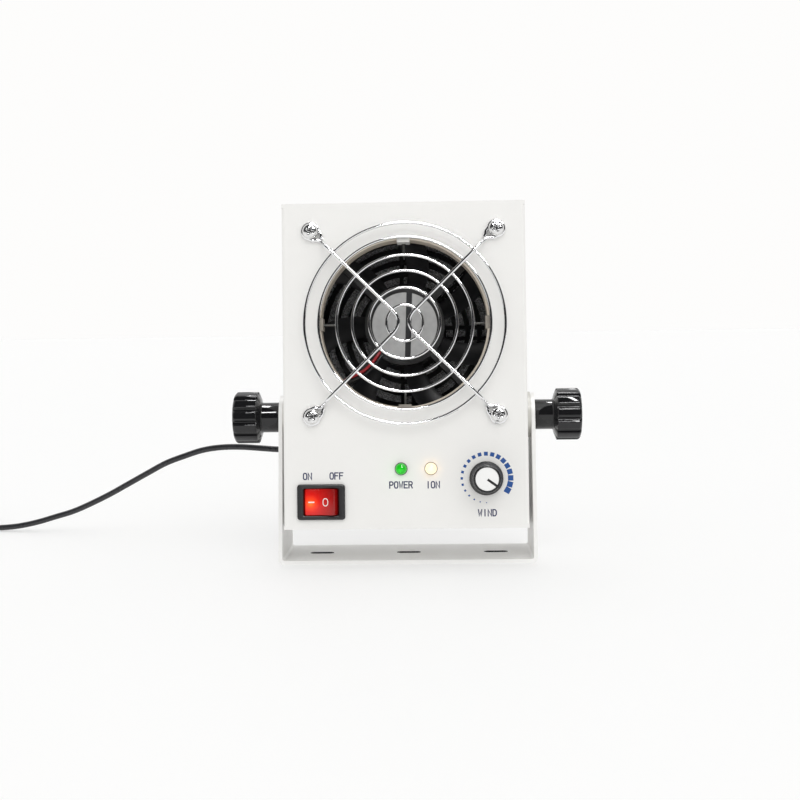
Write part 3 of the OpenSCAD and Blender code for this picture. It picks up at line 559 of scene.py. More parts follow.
# right-angle plug with a ribbed relief
PX, PY, PZ = -38.0, 47.1, -20.0
prof = [(0, -0.0), (2.72, 0.0), (2.72, 10.6), (0, 10.6)]
barrel = put("plug_barrel", *lathe([(0, 0), (2.3, 0), (2.72, 0.5), (2.72, 10.8), (0, 10.8)], 40), CHROME, "blower", at=(PX, YR - 9, PZ))
pv = lathe([(0, 0), (4.6, 0), (5, 0.4), (5, 2.2), (4.75, 2.4), (4.75, 2.9), (5, 3.1), (5, 7.9), (4.9, 9.2), (4.5, 10.6), (3.7, 11.9), (2.5, 12.8), (1.2, 13.2), (0, 13.3)], 48)
arm = lathe([(0, 0), (4.1, 0), (4.1, 9.5), (3.9, 11), (3.7, 13), (0, 13)], 40, "x")
arm = moved(arm, Matrix.Translation((0, PY - YR - 1.7, 0)) @ Matrix.Rotation(math.pi, 4, "Z"))
plug = put("plug_body", *join([pv, arm]), CORD, "blower", at=(PX, YR + 1.7, PZ))
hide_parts("dc_plug")
ribs = [(0, 0), (3.5, 0)]
for k in range(6):
    a = 0.6 + 2.45 * k
    rr = 3.45 - 0.2 * k
    ribs += [(rr, a), (rr, a + 1.35), (rr - 0.75, a + 1.6), (rr - 0.8, a + 2.2)]
ribs += [(2.3, 15.4), (2.1, 16), (0, 16)]
relief = put("plug_relief_ribbed", *lathe(ribs, 40, "x"), CORD, "blower", at=(PX - 13, PY, PZ), rot=Matrix.Rotation(math.pi, 4, "Z"))
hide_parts("plug_relief")

# tie around the coil: a strap with its head on top
lp = []
for x, z in rrect(15.0, 12.0, 4.5, 6):
    lp.append((0, x, z))
strap = tube([(p[0], p[1] + 22, p[2] + 6.45) for p in lp], 1.0, closed=True, shape=[(-1.9, -0.32), (-1.75, -0.42), (1.75, -0.42), (1.9, -0.32), (1.9, 0.32), (1.75, 0.42), (-1.75, 0.42), (-1.9, 0.32)])
head = block((5.2, 4.6, 2.4), 0.5, 3, (0, 22 + 2.5, 13.3))
slotb = block((3.0, 0.7, 2.9), 0.15, 2, (0, 22 + 2.5, 13.3))
end = tube([(0, 22 + 2.5, 11.9), (0, 22 + 2.5, 14.8), (0, 22 + 1.4, 15.6)], 1.0, shape=[(-0.3, -1.7), (0.3, -1.7), (0.3, 1.7), (-0.3, 1.7)])
tie = put("coil_tie", *join([strap, head, end]), TIE, "stand", at=tuple(COIL), M=ROW)
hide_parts("cord_tie")

# plug-in adapter
AX, AY = -396.0, 118.0
levels = [(0, 1.6, 4.0), (0.5, 0.7, 4.6), (1.6, 0.05, 5), (12.6, 0, 5), (12.75, 0.0, 5), (12.9, 0.45, 4.7), (13.5, 0.45, 4.7), (13.65, 0, 5), (24.2, 0.05, 5), (25.5, 0.7, 4.6), (26.0, 1.7, 4.0),
          (26.0, 2.1, 3.8), (28.2, 2.15, 3.8), (28.8, 2.5, 3.5), (29.0, 3.2, 3.0)]
loops = []
for z, ins, r in levels:
    loops.append([(x, y, z) for x, y in rrect(46 - 2 * ins, 72 - 2 * ins, r, 6)])
body_v = loft(loops)
grips = []
for s in (-1, 1):
    for k in range(7):
        grips.append(block((0.9, 1.5, 15), 0.4, 2, (s * 22.75, -12 + 4 * k, 13)))
adapter = put("adapter_body", *join([body_v] + grips), ADAPT, "stand", at=(AX, AY, 0), M=ROW, sharp=40)
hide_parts("power_adapter")
ap = [(0, 0), (4.2, 0), (4.2, 1.0)]
for k in range(4):
    a = 1.0 + 2.1 * k
    rr = 3.5 - 0.22 * k
    ap += [(rr, a), (rr, a + 1.2), (rr - 0.7, a + 1.4), (rr - 0.75, a + 2.0)]
ap += [(2.15, 9.4), (2.05, 10), (0, 10)]
arel = put("adapter_relief_ribbed", *lathe(ap, 36), CORD, "stand", at=(AX, AY + 36, 13), M=ROW)
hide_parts("adapter_relief")
blades_v = []
for s in (-1, 1):
    blades_v.append(block((1.5, 6.3, 17), 0.45, 2, (s * 6.35, 13.15, 37.5)))
pins = put("adapter_blades", *join(blades_v), BRASS, "stand", at=(AX, AY, 0), M=ROW)
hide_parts("adapter_pins")

# ------------------------------------------------------------------ CAD nodes that stay
def keep(mat, *names, bevel=None, angle=40):
    for nm in names:
        o = NODES[nm]
        paint(o, mat)
        o.data.polygons.foreach_set("use_smooth", [True] * len(o.data.polygons))
        if bevel:
            mod = o.modifiers.new("edge", "BEVEL")
            mod.width = bevel * 0.001
            mod.segments = 3
            mod.limit_method = "ANGLE"
            mod.angle_limit = RAD(angle)
            mod.harden_normals = False


def sharpen(*names, angle=30):
    for nm in names:
        me = NODES[nm].data
        me.polygons.foreach_set("use_smooth", [True] * len(me.polygons))
        me.set_sharp_from_angle(angle=RAD(angle))


keep(POWDER, "front_shell", "rear_cover")

# the bracket has the same coat, but painted lighter than on the housing as painted light for the shade it sits in under
# the body; the walls of its slots are painted near black as painted shade inside the narrow slots
STEEL = Mat("bracket_coat_lightened_slots_shaded", (0.875, 0.870, 0.855), 0.42)
_q = STEEL.xyz()
# mask of the slot walls only, which take the painted shade
_slot_shade = STEEL.math("LESS_THAN", _q[2], 0.00212)
_slot_shade = STEEL.math("MULTIPLY", _slot_shade, STEEL.math("GREATER_THAN", _q[2], 0.00003))
_slot_shade = STEEL.math("MULTIPLY", _slot_shade, STEEL.math("LESS_THAN", STEEL.math("ABSOLUTE", _q[1]), 0.0029))
_slot_shade = STEEL.math("MULTIPLY", _slot_shade, STEEL.math("LESS_THAN", STEEL.math("ABSOLUTE", _q[0]), 0.0615))
_sm = STEEL.n("Mix", data_type="RGBA")
STEEL.link(_slot_shade, _sm.inputs["Factor"])
# A: the coat, lighter than the housing's, as painted light
STEEL.link(STEEL.ramp(STEEL.noise(22, 3), [(0.3, (0.893, 0.887, 0.870)), (0.7, (0.907, 0.901, 0.885))]), _sm.inputs["A"])
# B: the slot walls near black, as painted shade
STEEL.link(STEEL.ramp(STEEL.noise(900, 3), [(0.3, (0.016, 0.016, 0.017)), (0.7, (0.034, 0.033, 0.032))]), _sm.inputs["B"])
STEEL.colour(_sm.outputs["Result"])
STEEL.rough(STEEL.noise(180, 4), 0.36, 0.48)
STEEL.bump(STEEL.noise(160, 2), 0.10, 0.0003)
STEEL.bump(STEEL.noise(1500, 3, 0.6), 0.22, 0.00005)
keep(STEEL, "bracket")
keep(NYLON, "pivot_spacers")
keep(ZINC, "knob_left_stud", "knob_right_stud", "cover_nuts", "pivot_nuts", "guard_nuts", "board_standoffs", "board_screws", "pot_nut", "pot_shaft", "jack_nut", "filter_nuts", "fan_shaft", "fan_bearings")
keep(BEIGE, "emitter_frame")
# needle sockets: all four are the same white plastic, but only the top one keeps that white; the lower three are
# painted a dark tan as painted shade inside the ring
SOCKET = Mat("needle_socket", (0.80, 0.79, 0.76), 0.40)
_lit_top = SOCKET.math("GREATER_THAN", SOCKET.xyz()[2], 0.165)
_sm = SOCKET.n("Mix", data_type="RGBA")
SOCKET.link(_lit_top, _sm.inputs["Factor"])
# A: painted shade on the lower sockets
SOCKET.link(SOCKET.ramp(SOCKET.noise(300, 3), [(0.3, (0.30, 0.27, 0.23)), (0.7, (0.34, 0.31, 0.27))]), _sm.inputs["A"])
# B: the white of the top socket
SOCKET.link(SOCKET.ramp(SOCKET.noise(300, 3), [(0.3, (0.72, 0.71, 0.68)), (0.7, (0.78, 0.77, 0.74))]), _sm.inputs["B"])
SOCKET.colour(_sm.outputs["Result"])
SOCKET.bump(SOCKET.noise(1400, 2), 0.12, 0.00003)
keep(SOCKET, "needle_sockets")
keep(NEEDLE, "emitter_needles")
keep(ORANGE, "hv_leads")
keep(POTTING, "hv_module")
keep(FANBLK, "fan_frame")
keep(COPPER, "fan_stator")
keep(MAGNET, "fan_magnet")
keep(BOARD, "control_board")
keep(PARTS, "board_parts", "potentiometer")
keep(BLACK, "switch_housing", "dc_jack")
keep(BRASS, "switch_terminals", "ground_terminal")
keep(GRILLE, "filter_base", "filter_cover")
keep(FOAM, "filter_foam")
sharpen(*[n for n in NODES])


# ------------------------------------------------------------------ knobs
def clamp_knob(side):
    """Fluted head on a plain hub, drawn along +X from the arm's outer face."""
    n_fl, seg = 12, 16
    n = n_fl * seg
    R, Rh, hub_l, L = 15.3, 8.9, 12.6, 27.2

    def star(rad, depth, round_=0.0):
        out = []
        for k in range(n):
            t = 2 * math.pi * (k + 0.5) / n
            u = ((k + 0.5) / seg) % 1.0
            # a rib with a round-edged crown, a narrower groove between
            g = abs(u - 0.5) / 0.5
            notch = ease((g - 0.60) / 0.30)
            rr = rad - depth * notch
            out.append((rr, t))
        return out

    def loop(x, rad, depth):
        return [(x, rr * math.cos(t), rr * math.sin(t)) for rr, t in star(rad, depth)]

    def ring(x, rad):
        return [(x, rad * math.cos(2 * math.pi * (k + 0.5) / n), rad * math.sin(2 * math.pi * (k + 0.5) / n)) for k in range(n)]

    L_ = [ring(0.0, 5.0), ring(0.0, Rh - 0.35), ring(0.12, Rh - 0.12), ring(0.4, Rh), ring(hub_l - 2.2, Rh - 0.05), ring(hub_l - 1.6, Rh + 0.15), ring(hub_l - 1.3, Rh + 0.6),
          ring(hub_l - 1.2, 10.4), ring(hub_l - 0.9, 11.4), loop(hub_l + 0.25, 14.3, 0.5), loop(hub_l + 0.45, 14.9, 1.2), loop(hub_l + 0.62, R - 0.08, 1.55), loop(hub_l + 0.85, R, 1.62),
          loop(L - 1.9, R, 1.62), loop(L - 1.5, R - 0.08, 1.6), loop(L - 0.9, R - 0.5, 1.4), loop(L - 0.35, R - 1.1, 1.0), loop(L - 0.05, R - 1.7, 0.5), ring(L, R - 2.6),
          ring(L, 11.0), ring(L - 0.1, 10.75), ring(L - 0.9, 10.5), ring(L - 1.0, 10.2), ring(L - 0.95, 5.0), ring(L - 0.8, 1.0)]
    V, F = loft(L_)
    M = Matrix.Translation(PIVOT) @ Matrix.Translation((side * 0.0751, 0, 0)) @ (Matrix.Identity(4) if side > 0 else Matrix.Rotation(math.pi, 4, "Z"))
    M = M @ Matrix.Rotation(RAD(8 if side > 0 else -7), 4, "X")
    nm = "right" if side > 0 else "left"
    o = put("knob_%s_fluted" % nm, V, F, KNOB, nm + "_clamp", M=M, sharp=50)
    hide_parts("knob_" + nm)
    return o


clamp_knob(1)
clamp_knob(-1)

# ------------------------------------------------------------------ wire guard
ys = YF - 6.6
yring = ys + 1.65
yp = YF - 1.0
parts = []
for r in (56.5, 48.5, 38.3, 29.5, 20.0, 10.2):
    P = [(0.5 + r * math.cos(2 * math.pi * k / 120), yring, -0.5 + r * math.sin(2 * math.pi * k / 120)) for k in range(120)]
    parts.append(tube(P, 0.8, 14, closed=True))


def vwire(s):
    """One wire: eyelet, step up, spoke, elbow, spoke, step down, eyelet."""
    def arm_pts(t):
        c = Vector((s * GP, yp, t * GP))
        d = Vector((-s, 0, -t)).normalized()
        e = Vector((-d.z, 0, d.x))
        loop = []
        for k in range(15):
            a = RAD(205 - (205 + 150) * k / 14)  # from beside the stem right round the screw
            loop.append(c + 4.35 * (math.cos(a) * d + math.sin(a) * e))
        tail = c + 7.4 * d + e * -1.2
        tail2 = c + 6.2 * d + e * -1.9
        return loop, c, d, e

    half = []
    for t in (1, -1):
        c = Vector((s * GP, yp, t * GP))
        d = Vector((-s, 0, -t)).normalized()
        e = Vector((-d.z, 0, d.x)) * (1 if s * t > 0 else -1)
        pts = [c + 8.1 * d - 1.5 * e, c + 6.6 * d - 2.0 * e, c + 5.0 * d - 3.1 * e]
        for k in range(11):
            a = RAD(-52 - (360 - 104) * k / 10)
            pts.append(c + 4.35 * (math.cos(a) * d + math.sin(a) * e))
        pts += [c + 4.6 * d + 2.7 * e, c + 6.1 * d + 1.0 * e, c + 7.4 * d + 0.15 * e]
        base = c + 8.3 * d
        topp = c + 14.6 * d
        topp.y = ys
        pts += [base]
        mid = (base + topp) / 2
        pts += [base + (topp - base) * 0.22 + Vector((0, 0.35, 0)), mid, base + (topp - base) * 0.82 + Vector((0, -0.25, 0)), topp + 1.2 * d]
        half.append(spline(pts, 4))
    tip = Vector((s * -0.4, ys, 0))
    a, b = half[0][-1], half[1][-1]
    run_ = fillet([a, tip, b], 9.5, 16)
    # straight spokes get a few points of their own
    full = half[0][:-1]
    full += [a.lerp(run_[1], k / 6) for k in range(6)]
    full += run_[1:-1]
    full += [run_[-2].lerp(b, k / 6) for k in range(1, 7)]
    full += half[1][::-1][1:]
    return full


for s in (-1, 1):
    parts.append(tube(vwire(s), 1.0, 16))
# welds where spokes cross rings
for r in (56.5, 48.5, 38.3, 29.5, 20.0):
    for s in (-1, 1):
        for t in (-1, 1):
            # spoke line from (2.7, 0) outwards at just over 45 degrees
            ux, uz = 43.2, 43.1
            ln = math.hypot(ux, uz)
            ux, uz = ux / ln, uz / ln
            bq = -0.4 * ux
            q = -bq + math.sqrt(bq * bq - 0.16 + r * r)
            px, pz = -0.4 + ux * q, uz * q
            bl = lathe([(0, -0.55), (0.7, -0.45), (1.15, 0.0), (0.7, 0.45), (0, 0.55)], 12)
            parts.append(moved(bl, Matrix.Translation((s * px, ys + 0.95, t * pz))))
guard = put("guard_wires", *join(parts), CHROME, "blower", at=(0, 0, FZ), sharp=60)
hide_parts("fan_guard")


# ------------------------------------------------------------------ screws
def phillips(head_r, head_h, shank_r, length, n=64):
    """Pan head with a cross recess, head towards -Y, seat at y = 0."""
    rows = 22
    V, F = [], []
    rings = []
    for i in range(rows + 1):
        f = i / rows
        r = head_r * math.sin(f * math.pi / 2) if f < 1 else head_r
        ring_ = []
        m = 1 if i == 0 else n
        for k in range(m):
            t = 2 * math.pi * k / n
            x, z = r * math.cos(t), r * math.sin(t)
            h = head_h * (1 - (r / head_r) ** 3.2) ** 0.62 if r < head_r else 0
            h = max(h, 0.0)
            ax, az = abs(x), abs(z)
            w = 0.13 * head_r
            Lc = 0.56 * head_r
            dep = 0
            if min(ax, az) < w * 1.25 and max(ax, az) < Lc * 1.1:
                e1 = 1 - ease((min(ax, az) - w * 0.75) / (w * 0.5))
                e2 = 1 - ease((max(ax, az) - Lc * 0.55) / (Lc * 0.5))
                dep = 0.62 * head_h * e1 * e2
            if math.hypot(x, z) < 0.27 * head_r:
                dep = max(dep, 0.62 * head_h * (1 - ease((math.hypot(x, z) - 0.19 * head_r) / (0.08 * head_r))))
            ring_.append(len(V))
            V.append((x, -0.25 - h - 0.0 + dep, z))
        rings.append(ring_)
    base = []
    for rr, yy in ((head_r, 0.0), (shank_r, 0.0), (shank_r, length)):
        base.append(list(range(len(V), len(V) + n)))
        for k in range(n):
            t = 2 * math.pi * k / n
            V.append((rr * math.cos(t), yy, rr * math.sin(t)))
    rings += base
    for A, C in zip(rings, rings[1:]):
        for k in range(n):
            q = []
            for i in (A[k % len(A)], A[(k + 1) % len(A)], C[(k + 1) % len(C)], C[k % len(C)]):
                if i not in q:
                    q.append(i)
            F.append(q)
    F.append(rings[-1])
    return V, F


ps = []
for i, (cx, cz) in enumerate(((-1, -1), (1, -1), (1, 1), (-1, 1))):
    p = phillips(4.45, 2.7, 1.95, 27)
    ps.append(moved(p, Matrix.Translation((cx * GP, YF - 2.0, FZ + cz * GP)) @ Matrix.Rotation(RAD((38, 12, 63, 25)[i]), 4, "Y")))
gs = put("guard_screws_pan", *join(ps), SCREW, "blower", sharp=38)
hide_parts("guard_screws")

ps = []
for i, s in enumerate((-1, 1)):
    for j, z in enumerate((-54, 104)):
        p = phillips(2.8, 1.6, 1.5, 7, 40)
        ps.append(moved(p, Matrix.Translation((s * HW, 29, z)) @ Matrix.Rotation(s * math.pi / 2, 4, "Z") @ Matrix.Rotation(RAD(20 + 31 * i + 17 * j), 4, "Y")))
cs = put("cover_screws_pan", *join(ps), SCREW, "blower", sharp=38)
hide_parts("cover_screws")

ps = []
for i, (cx, cz) in enumerate(((-1, -1), (1, -1), (1, 1), (-1, 1))):
    p = phillips(3.6, 1.5, 1.95, 9, 40)
    ps.append(moved(p, Matrix.Translation((cx * GP, YR + 2.62, FZ + cz * GP)) @ Matrix.Rotation(math.pi, 4, "Z")))
fs = put("filter_screws_pan", *join(ps), SCREW, "blower", sharp=38)
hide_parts("filter_screws")


# ------------------------------------------------------------------ print on the panel
GLYPH = {
    "O": [("c", [(0.9, 0), (3.1, 0), (4, 1.2), (4, 4.8), (3.1, 6), (0.9, 6), (0, 4.8), (0, 1.2)])],
    "N": [("o", [(0, 0), (0, 6), (4, 0), (4, 6)])],
    "F": [("o", [(0, 0), (0, 6), (3.9, 6)]), ("o", [(0, 3.2), (3.2, 3.2)])],
    "P": [("o", [(0, 0), (0, 6), (2.9, 6), (4, 5.1), (4, 3.7), (2.9, 2.8), (0, 2.8)])],
    "W": [("o", [(0, 6), (0.8, 0), (2, 4.2), (3.2, 0), (4, 6)])],
    "E": [("o", [(3.9, 0), (0, 0), (0, 6), (3.9, 6)]), ("o", [(0, 3.1), (3.3, 3.1)])],
    "R": [("o", [(0, 0), (0, 6), (2.9, 6), (4, 5.1), (4, 3.8), (2.9, 2.9), (0, 2.9)]), ("o", [(2.3, 2.9), (4, 0)])],
    "I": [("o", [(2, 0), (2, 6)])],
    "D": [("c", [(0, 0), (2.6, 0), (4, 1.4), (4, 4.6), (2.6, 6), (0, 6)])],
}


def stroke(pts, w, closed, y0, y1):
    """A flat mitred stroke between two planes, as (verts, faces)."""
    P = [Vector((p[0], p[1])) for p in pts]
    n = len(P)
    Lf, Rt = [], []
    for i in range(n):
        if closed:
            a, b, c = P[(i - 1) % n], P[i], P[(i + 1) % n]
        else:
            a, b, c = P[max(i - 1, 0)], P[i], P[min(i + 1, n - 1)]
        d1 = (b - a).normalized() if (b - a).length > 0 else None
        d2 = (c - b).normalized() if (c - b).length > 0 else None
        d1, d2 = d1 or d2, d2 or d1
        n1, n2 = Vector((-d1.y, d1.x)), Vector((-d2.y, d2.x))
        m = (n1 + n2).normalized()
        k = min(1 / max(m.dot(n1), 0.35), 2.2)
        ext = Vector((0, 0))
        if not closed and i == 0:
            ext = -d2 * w / 2
        if not closed and i == n - 1:
            ext = d1 * w / 2
        Lf.append(b + m * k * w / 2 + ext)
        Rt.append(b - m * k * w / 2 + ext)
    V = []
    for y in (y0, y1):
        V += [(p.x, y, p.y) for p in Lf] + [(p.x, y, p.y) for p in Rt]
    F = []
    m = n if closed else n - 1
    for i in range(m):
        j = (i + 1) % n
        F.append([i, j, n + j, n + i])
        F.append([2 * n + i, 3 * n + i, 3 * n + j, 2 * n + j])
        F.append([i, 2 * n + i, 2 * n + j, j])
        F.append([n + i, n + j, 3 * n + j, 3 * n + i])
    if not closed:
        F.append([0, n, 3 * n, 2 * n])
        F.append([n - 1, 3 * n - 1, 4 * n - 1, 2 * n - 1][::-1])
    return V, F


def words(text, cx, cz, h=3.45, w=1.85, adv=2.70, thick=0.64, y=YF):
    out = []
    total = adv * (len(text) - 1) + w
    x = cx - total / 2
    for ch in text:
        for kind, pts in GLYPH[ch]:
            q = [(x + p[0] / 4 * w, cz - h / 2 + p[1] / 6 * h) for p in pts]
            out.append(stroke(q, thick, kind == "c", y - 0.03, y + 0.02))
        x += adv
    return out


marks = words("ON", -55.5, -34.0) + words("OFF", -39.1, -33.9) + words("POWER", -2.8, -39.3) + words("ION", 15.2, -39.4) + words("WIND", 45.5, -55.4)
lab = put("panel_words", *join(marks), NAVY, "blower", smooth=False)

DX, DZ = 45.1, -36.0
sq = []
for k in range(21):
    a = RAD(180 + 15 * k)
    s = 0.55 + 0.138 * k
    u = Vector((math.sin(a), math.cos(a)))
    v = Vector((u.y, -u.x))
    c = u * 13.7
    pts = [c + u * (i * s / 2) + v * (j * s / 2) for i, j in ((-1, -1), (1, -1), (1, 1), (-1, 1))]
    V = [(DX + p.x, y, DZ + p.y) for y in (YF - 0.03, YF + 0.02) for p in pts]
    F = [[0, 1, 2, 3], [7, 6, 5, 4]] + [[i, i + 4, (i + 1) % 4 + 4, (i + 1) % 4] for i in range(4)]
    sq.append((V, F))
scale_marks = put("dial_marks", *join(sq), BLUE, "blower", smooth=False)

# ------------------------------------------------------------------ speed knob
kp = [(6.7, 0.75), (9.1, 0.75), (9.42, 0.9), (9.5, 1.2), (9.5, 3.0), (9.42, 3.3), (9.1, 3.62), (8.55, 4.3), (8.15, 5.4), (7.92, 7.0), (7.8, 9.0), (7.72, 12.0), (7.68, 13.9), (7.55, 14.35), (7.25, 14.6), (6.95, 14.65),
      (6.6, 14.6), (6.52, 14.4), (6.5, 13.9), (3.2, 13.9), (3.05, 12.7), (3.05, 5.7), (6.6, 5.7)]
kv = closed_lathe([(r, -y) for r, y in kp], 96)
# pointer groove filled by a raised tick on the rim
pa = RAD(126)
u = Vector((math.sin(pa), 0, math.cos(pa)))
knob = put("speed_knob_body", *kv, DIALB, "dial", at=(DX, YF, DZ), sharp=40)
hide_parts("speed_knob")
cap = put("speed_knob_disc", *lathe([(0, -13.92), (6.42, -13.92), (6.46, -14.3), (6.3, -14.48), (0, -14.5)], 96), CAPW, "dial", at=(DX, YF, DZ), sharp=30)
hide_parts("speed_knob_cap")
ptr = block((1.35, 0.34, 7.4), 0.12, 2, (0, -14.46, 4.0))
ptr = moved(ptr, Matrix.Rotation(pa, 4, "Y"))
pointer = put("speed_knob_pointer", *join([ptr]), DIALB, "dial", at=(DX, YF, DZ), sharp=40)


# ------------------------------------------------------------------ lamps
def lamp(name, x, mat, node):
    prof = [(0, 6.2), (2.9, 6.2), (3.05, 5.6), (3.05, 0.6), (3.3, 0.0), (3.34, -0.35), (3.3, -0.9), (3.22, -1.45), (3.02, -2.15), (2.66, -2.85), (2.15, -3.45), (1.5, -3.92), (0.8, -4.2), (0, -4.28)]
    V, F = lathe([(r, y) for r, y in prof], 48)
    o = put(name, V, F, mat, "blower", at=(x, YF, -30.3), sharp=60)
    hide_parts(node)
    return o


lamp("power_lamp_dome", -2.6, GREEN, "power_lamp")
lamp("ion_lamp_dome", 14.2, CREAM, "ion_lamp")
# fine bezel rings under the lenses
bz = []
for x in (-2.6, 14.2):
    bz.append(moved(closed_lathe([(3.30, 0.02), (3.62, 0.02), (3.62, -0.12), (3.5, -0.26), (3.34, -0.26)], 48), Matrix.Translation((x, YF, -30.3))))
bezels = put("lamp_rings", *join(bz), BLACK, "blower", sharp=40)

# ------------------------------------------------------------------ rocker
SX, SZ = -47.8, -48.5


def rocker():
    """Two faces meeting in a shallow valley, ends round about the pivot; drawn unrotated, then pressed on the left."""
    pts = []
    y_edge = -5.2
    xe = math.sqrt(9.55 ** 2 - y_edge ** 2)
    face = [(-xe, y_edge), (0, -3.95), (xe, y_edge)]
    arc = []
    for k in range(1, 9):
        a0 = math.atan2(y_edge, xe)
        a = a0 + (RAD(8) - a0) * k / 8
        arc.append((9.55 * math.cos(a), 9.55 * math.sin(a)))
    top = fillet([Vector((-x, y, 0)) for x, y in arc[:1]] + [Vector((-xe, y_edge, 0)), Vector((0, -3.95, 0)), Vector((xe, y_edge, 0))] + [Vector((x, y, 0)) for x, y in arc[:1]], [0, 0.45, 2.0, 0.45, 0], 5)
    outline = [(p.x, p.y) for p in top] + arc[1:] + [(3.4, 3.5), (-3.4, 3.5)] + [(-x, y) for x, y in arc[1:]][::-1]
    zs = [(-7.3, 0.45), (-7.16, 0.18), (-6.95, 0.05), (-6.7, 0), (6.7, 0), (6.95, 0.05), (7.16, 0.18), (7.3, 0.45)]
    loops_ = []
    for z, ins in zs:
        lp = []
        for x, y in outline:
            r = math.hypot(x, y)
            kx = (r - ins) / r
            lp.append((x * kx, y * kx if y < 0 else y, z))
        loops_.append(lp)
    return loft(loops_)


ROT = Matrix.Rotation(RAD(-9), 4, "Z")
rk = put("rocker_cap", *rocker(), RED, "rocker", at=(SX, YF + 2.2, SZ), rot=ROT, sharp=35)
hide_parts("rocker_button")


def on_face(x):
    """Depth of the rocker's face at x, unrotated."""
    return -3.95 - abs(x) * (5.2 - 3.95) / 8.0


leg = []
x0, x1 = -6.5, -3.1
V = []
for y_off in (-0.05, 0.08):
    for x, z in ((x0, -0.36), (x1, -0.36), (x1, 0.36), (x0, 0.36)):
        V.append((x, on_face(x) + y_off, z))
leg.append((V, [[0, 1, 2, 3], [7, 6, 5, 4]] + [[i, i + 4, (i + 1) % 4 + 4, (i + 1) % 4] for i in range(4)]))
V, F = [], []
m = 40
cx = 3.3
for y_off in (-0.05, 0.08):
    for rad in (0, 1):
        for k in range(m):
            t = 2 * math.pi * k / m
            ex, ez = (1.68, 2.30) if rad else (1.20, 1.80)
            sx = math.copysign(abs(math.cos(t)) ** 0.85, math.cos(t)) * ex + cx
            sz = math.copysign(abs(math.sin(t)) ** 0.85, math.sin(t)) * ez
            V.append((sx, on_face(sx) + y_off, sz))
for k in range(m):
    j = (k + 1) % m
    F += [[k, j, m + j, m + k], [2 * m + k, 3 * m + k, 3 * m + j, 2 * m + j], [k, 2 * m + k, 2 * m + j, j], [m + k, m + j, 3 * m + j, 3 * m + k]]
leg.append((V, F))
legend = put("rocker_marks", *join(leg), PRINTW, "rocker", at=(SX, YF + 2.2, SZ), rot=ROT, smooth=False)

# bezel with a soft edge
bzl = []
for z, ins in ((0.0, 0.25), (-0.35, 0.0), (-1.3, 0.0), (-1.75, 0.25), (-1.98, 0.75)):
    bzl.append((z, ins))
out_l = [[(x, z, y) for x, y in rrect(27 - 2 * ins, 20 - 2 * ins, 1.7 - ins * 0.5, 5)] for z, ins in bzl]
inn_l = [[(x, z, y) for x, y in rrect(w, h, 0.9, 5)] for z, w, h in ((-1.98, 20.9, 16.2), (-1.7, 20.1, 15.5), (-1.2, 19.8, 15.2), (9.0, 19.8, 15.2))]
V, F = loft(out_l + inn_l, cap=False)
bez = put("switch_bezel", V, F, BLACK, "blower", at=(SX, YF, SZ), sharp=40)
# the body behind the panel, as a cup
out_b = [[(x, y_, z) for x, z in rrect(w, h, 0.6, 4)] for y_, w, h in ((-0.3, 24.7, 17.9), (15.0, 24.7, 17.9))]
cupv = loft(out_b + [[(x, y_, z) for x, z in rrect(24.0, 17.2, 0.6, 4)] for y_ in (15.0,)], cap=False)
inner_floor = block((20.2, 1.0, 15.6), 0.1, 1, (0, 12.4, 0))
seats = [block((4, 3, 0.5), 0.1, 1, (0, 2.2, s * 7.85)) for s in (-1, 1)]
# the CAD housing stays as the solid body; the bezel sits over its flange
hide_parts("switch_housing")
back = put("switch_body", *join([loft([[(x, y_, z) for x, z in rrect(24.8, 18.0, 0.6, 4)] for y_ in (-0.3, 15.0)] +
                                      [[(x, y_, z) for x, z in rrect(w, h, 0.6, 4)] for y_, w, h in ((15.0, 20.0, 15.3), (12.0, 19.9, 15.25), (-0.3, 19.9, 15.25))], cap=False), inner_floor]),
           BLACK, "blower", at=(SX, YF, SZ), sharp=40)

# ------------------------------------------------------------------ fan
# foil disc on the motor plate
foil = put("hub_disc", *lathe([(0, 0), (18.6, 0), (18.75, -0.12), (18.6, -0.27), (16.0, -0.3), (0, -0.3)], 96), FOIL, "blower", at=(0, FAN0, FZ), sharp=30)
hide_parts("fan_hub_cover")

# red and black fan wires, curving off the motor plate along a strut
WIRE_R = plain("wire_red", (0.36, 0.010, 0.016), 0.34)
WIRE_B = plain("wire_black", (0.012, 0.012, 0.012), 0.34)
wr = spline([(-14.2, FAN0 + 1.6, -15.0), (-15.4, FAN0 - 0.9, -17.0), (-18.4, FAN0 - 1.5, -21.0), (-22.6, FAN0 - 1.5, -25.2), (-27.5, FAN0 - 1.4, -28.2), (-33.0, FAN0 - 1.1, -30.6), (-37.0, FAN0 + 0.4, -33.6)], 6)
wb = spline([(-12.6, FAN0 + 1.6, -16.2), (-13.9, FAN0 - 0.8, -18.2), (-16.9, FAN0 - 1.4, -22.3), (-21.4, FAN0 - 1.4, -26.9), (-26.6, FAN0 - 1.3, -30.2), (-31.8, FAN0 - 1.0, -32.6), (-35.8, FAN0 + 0.4, -35.6)], 6)
w1 = put("fan_wire_red", *tube(wr, 0.85, 12), WIRE_R, "blower", at=(0, 0, FZ), sharp=60)
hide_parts("fan_wires")
w2 = put("fan_wire_black", *tube(wb, 0.85, 12), WIRE_B, "blower", at=(0, 0, FZ), sharp=60)


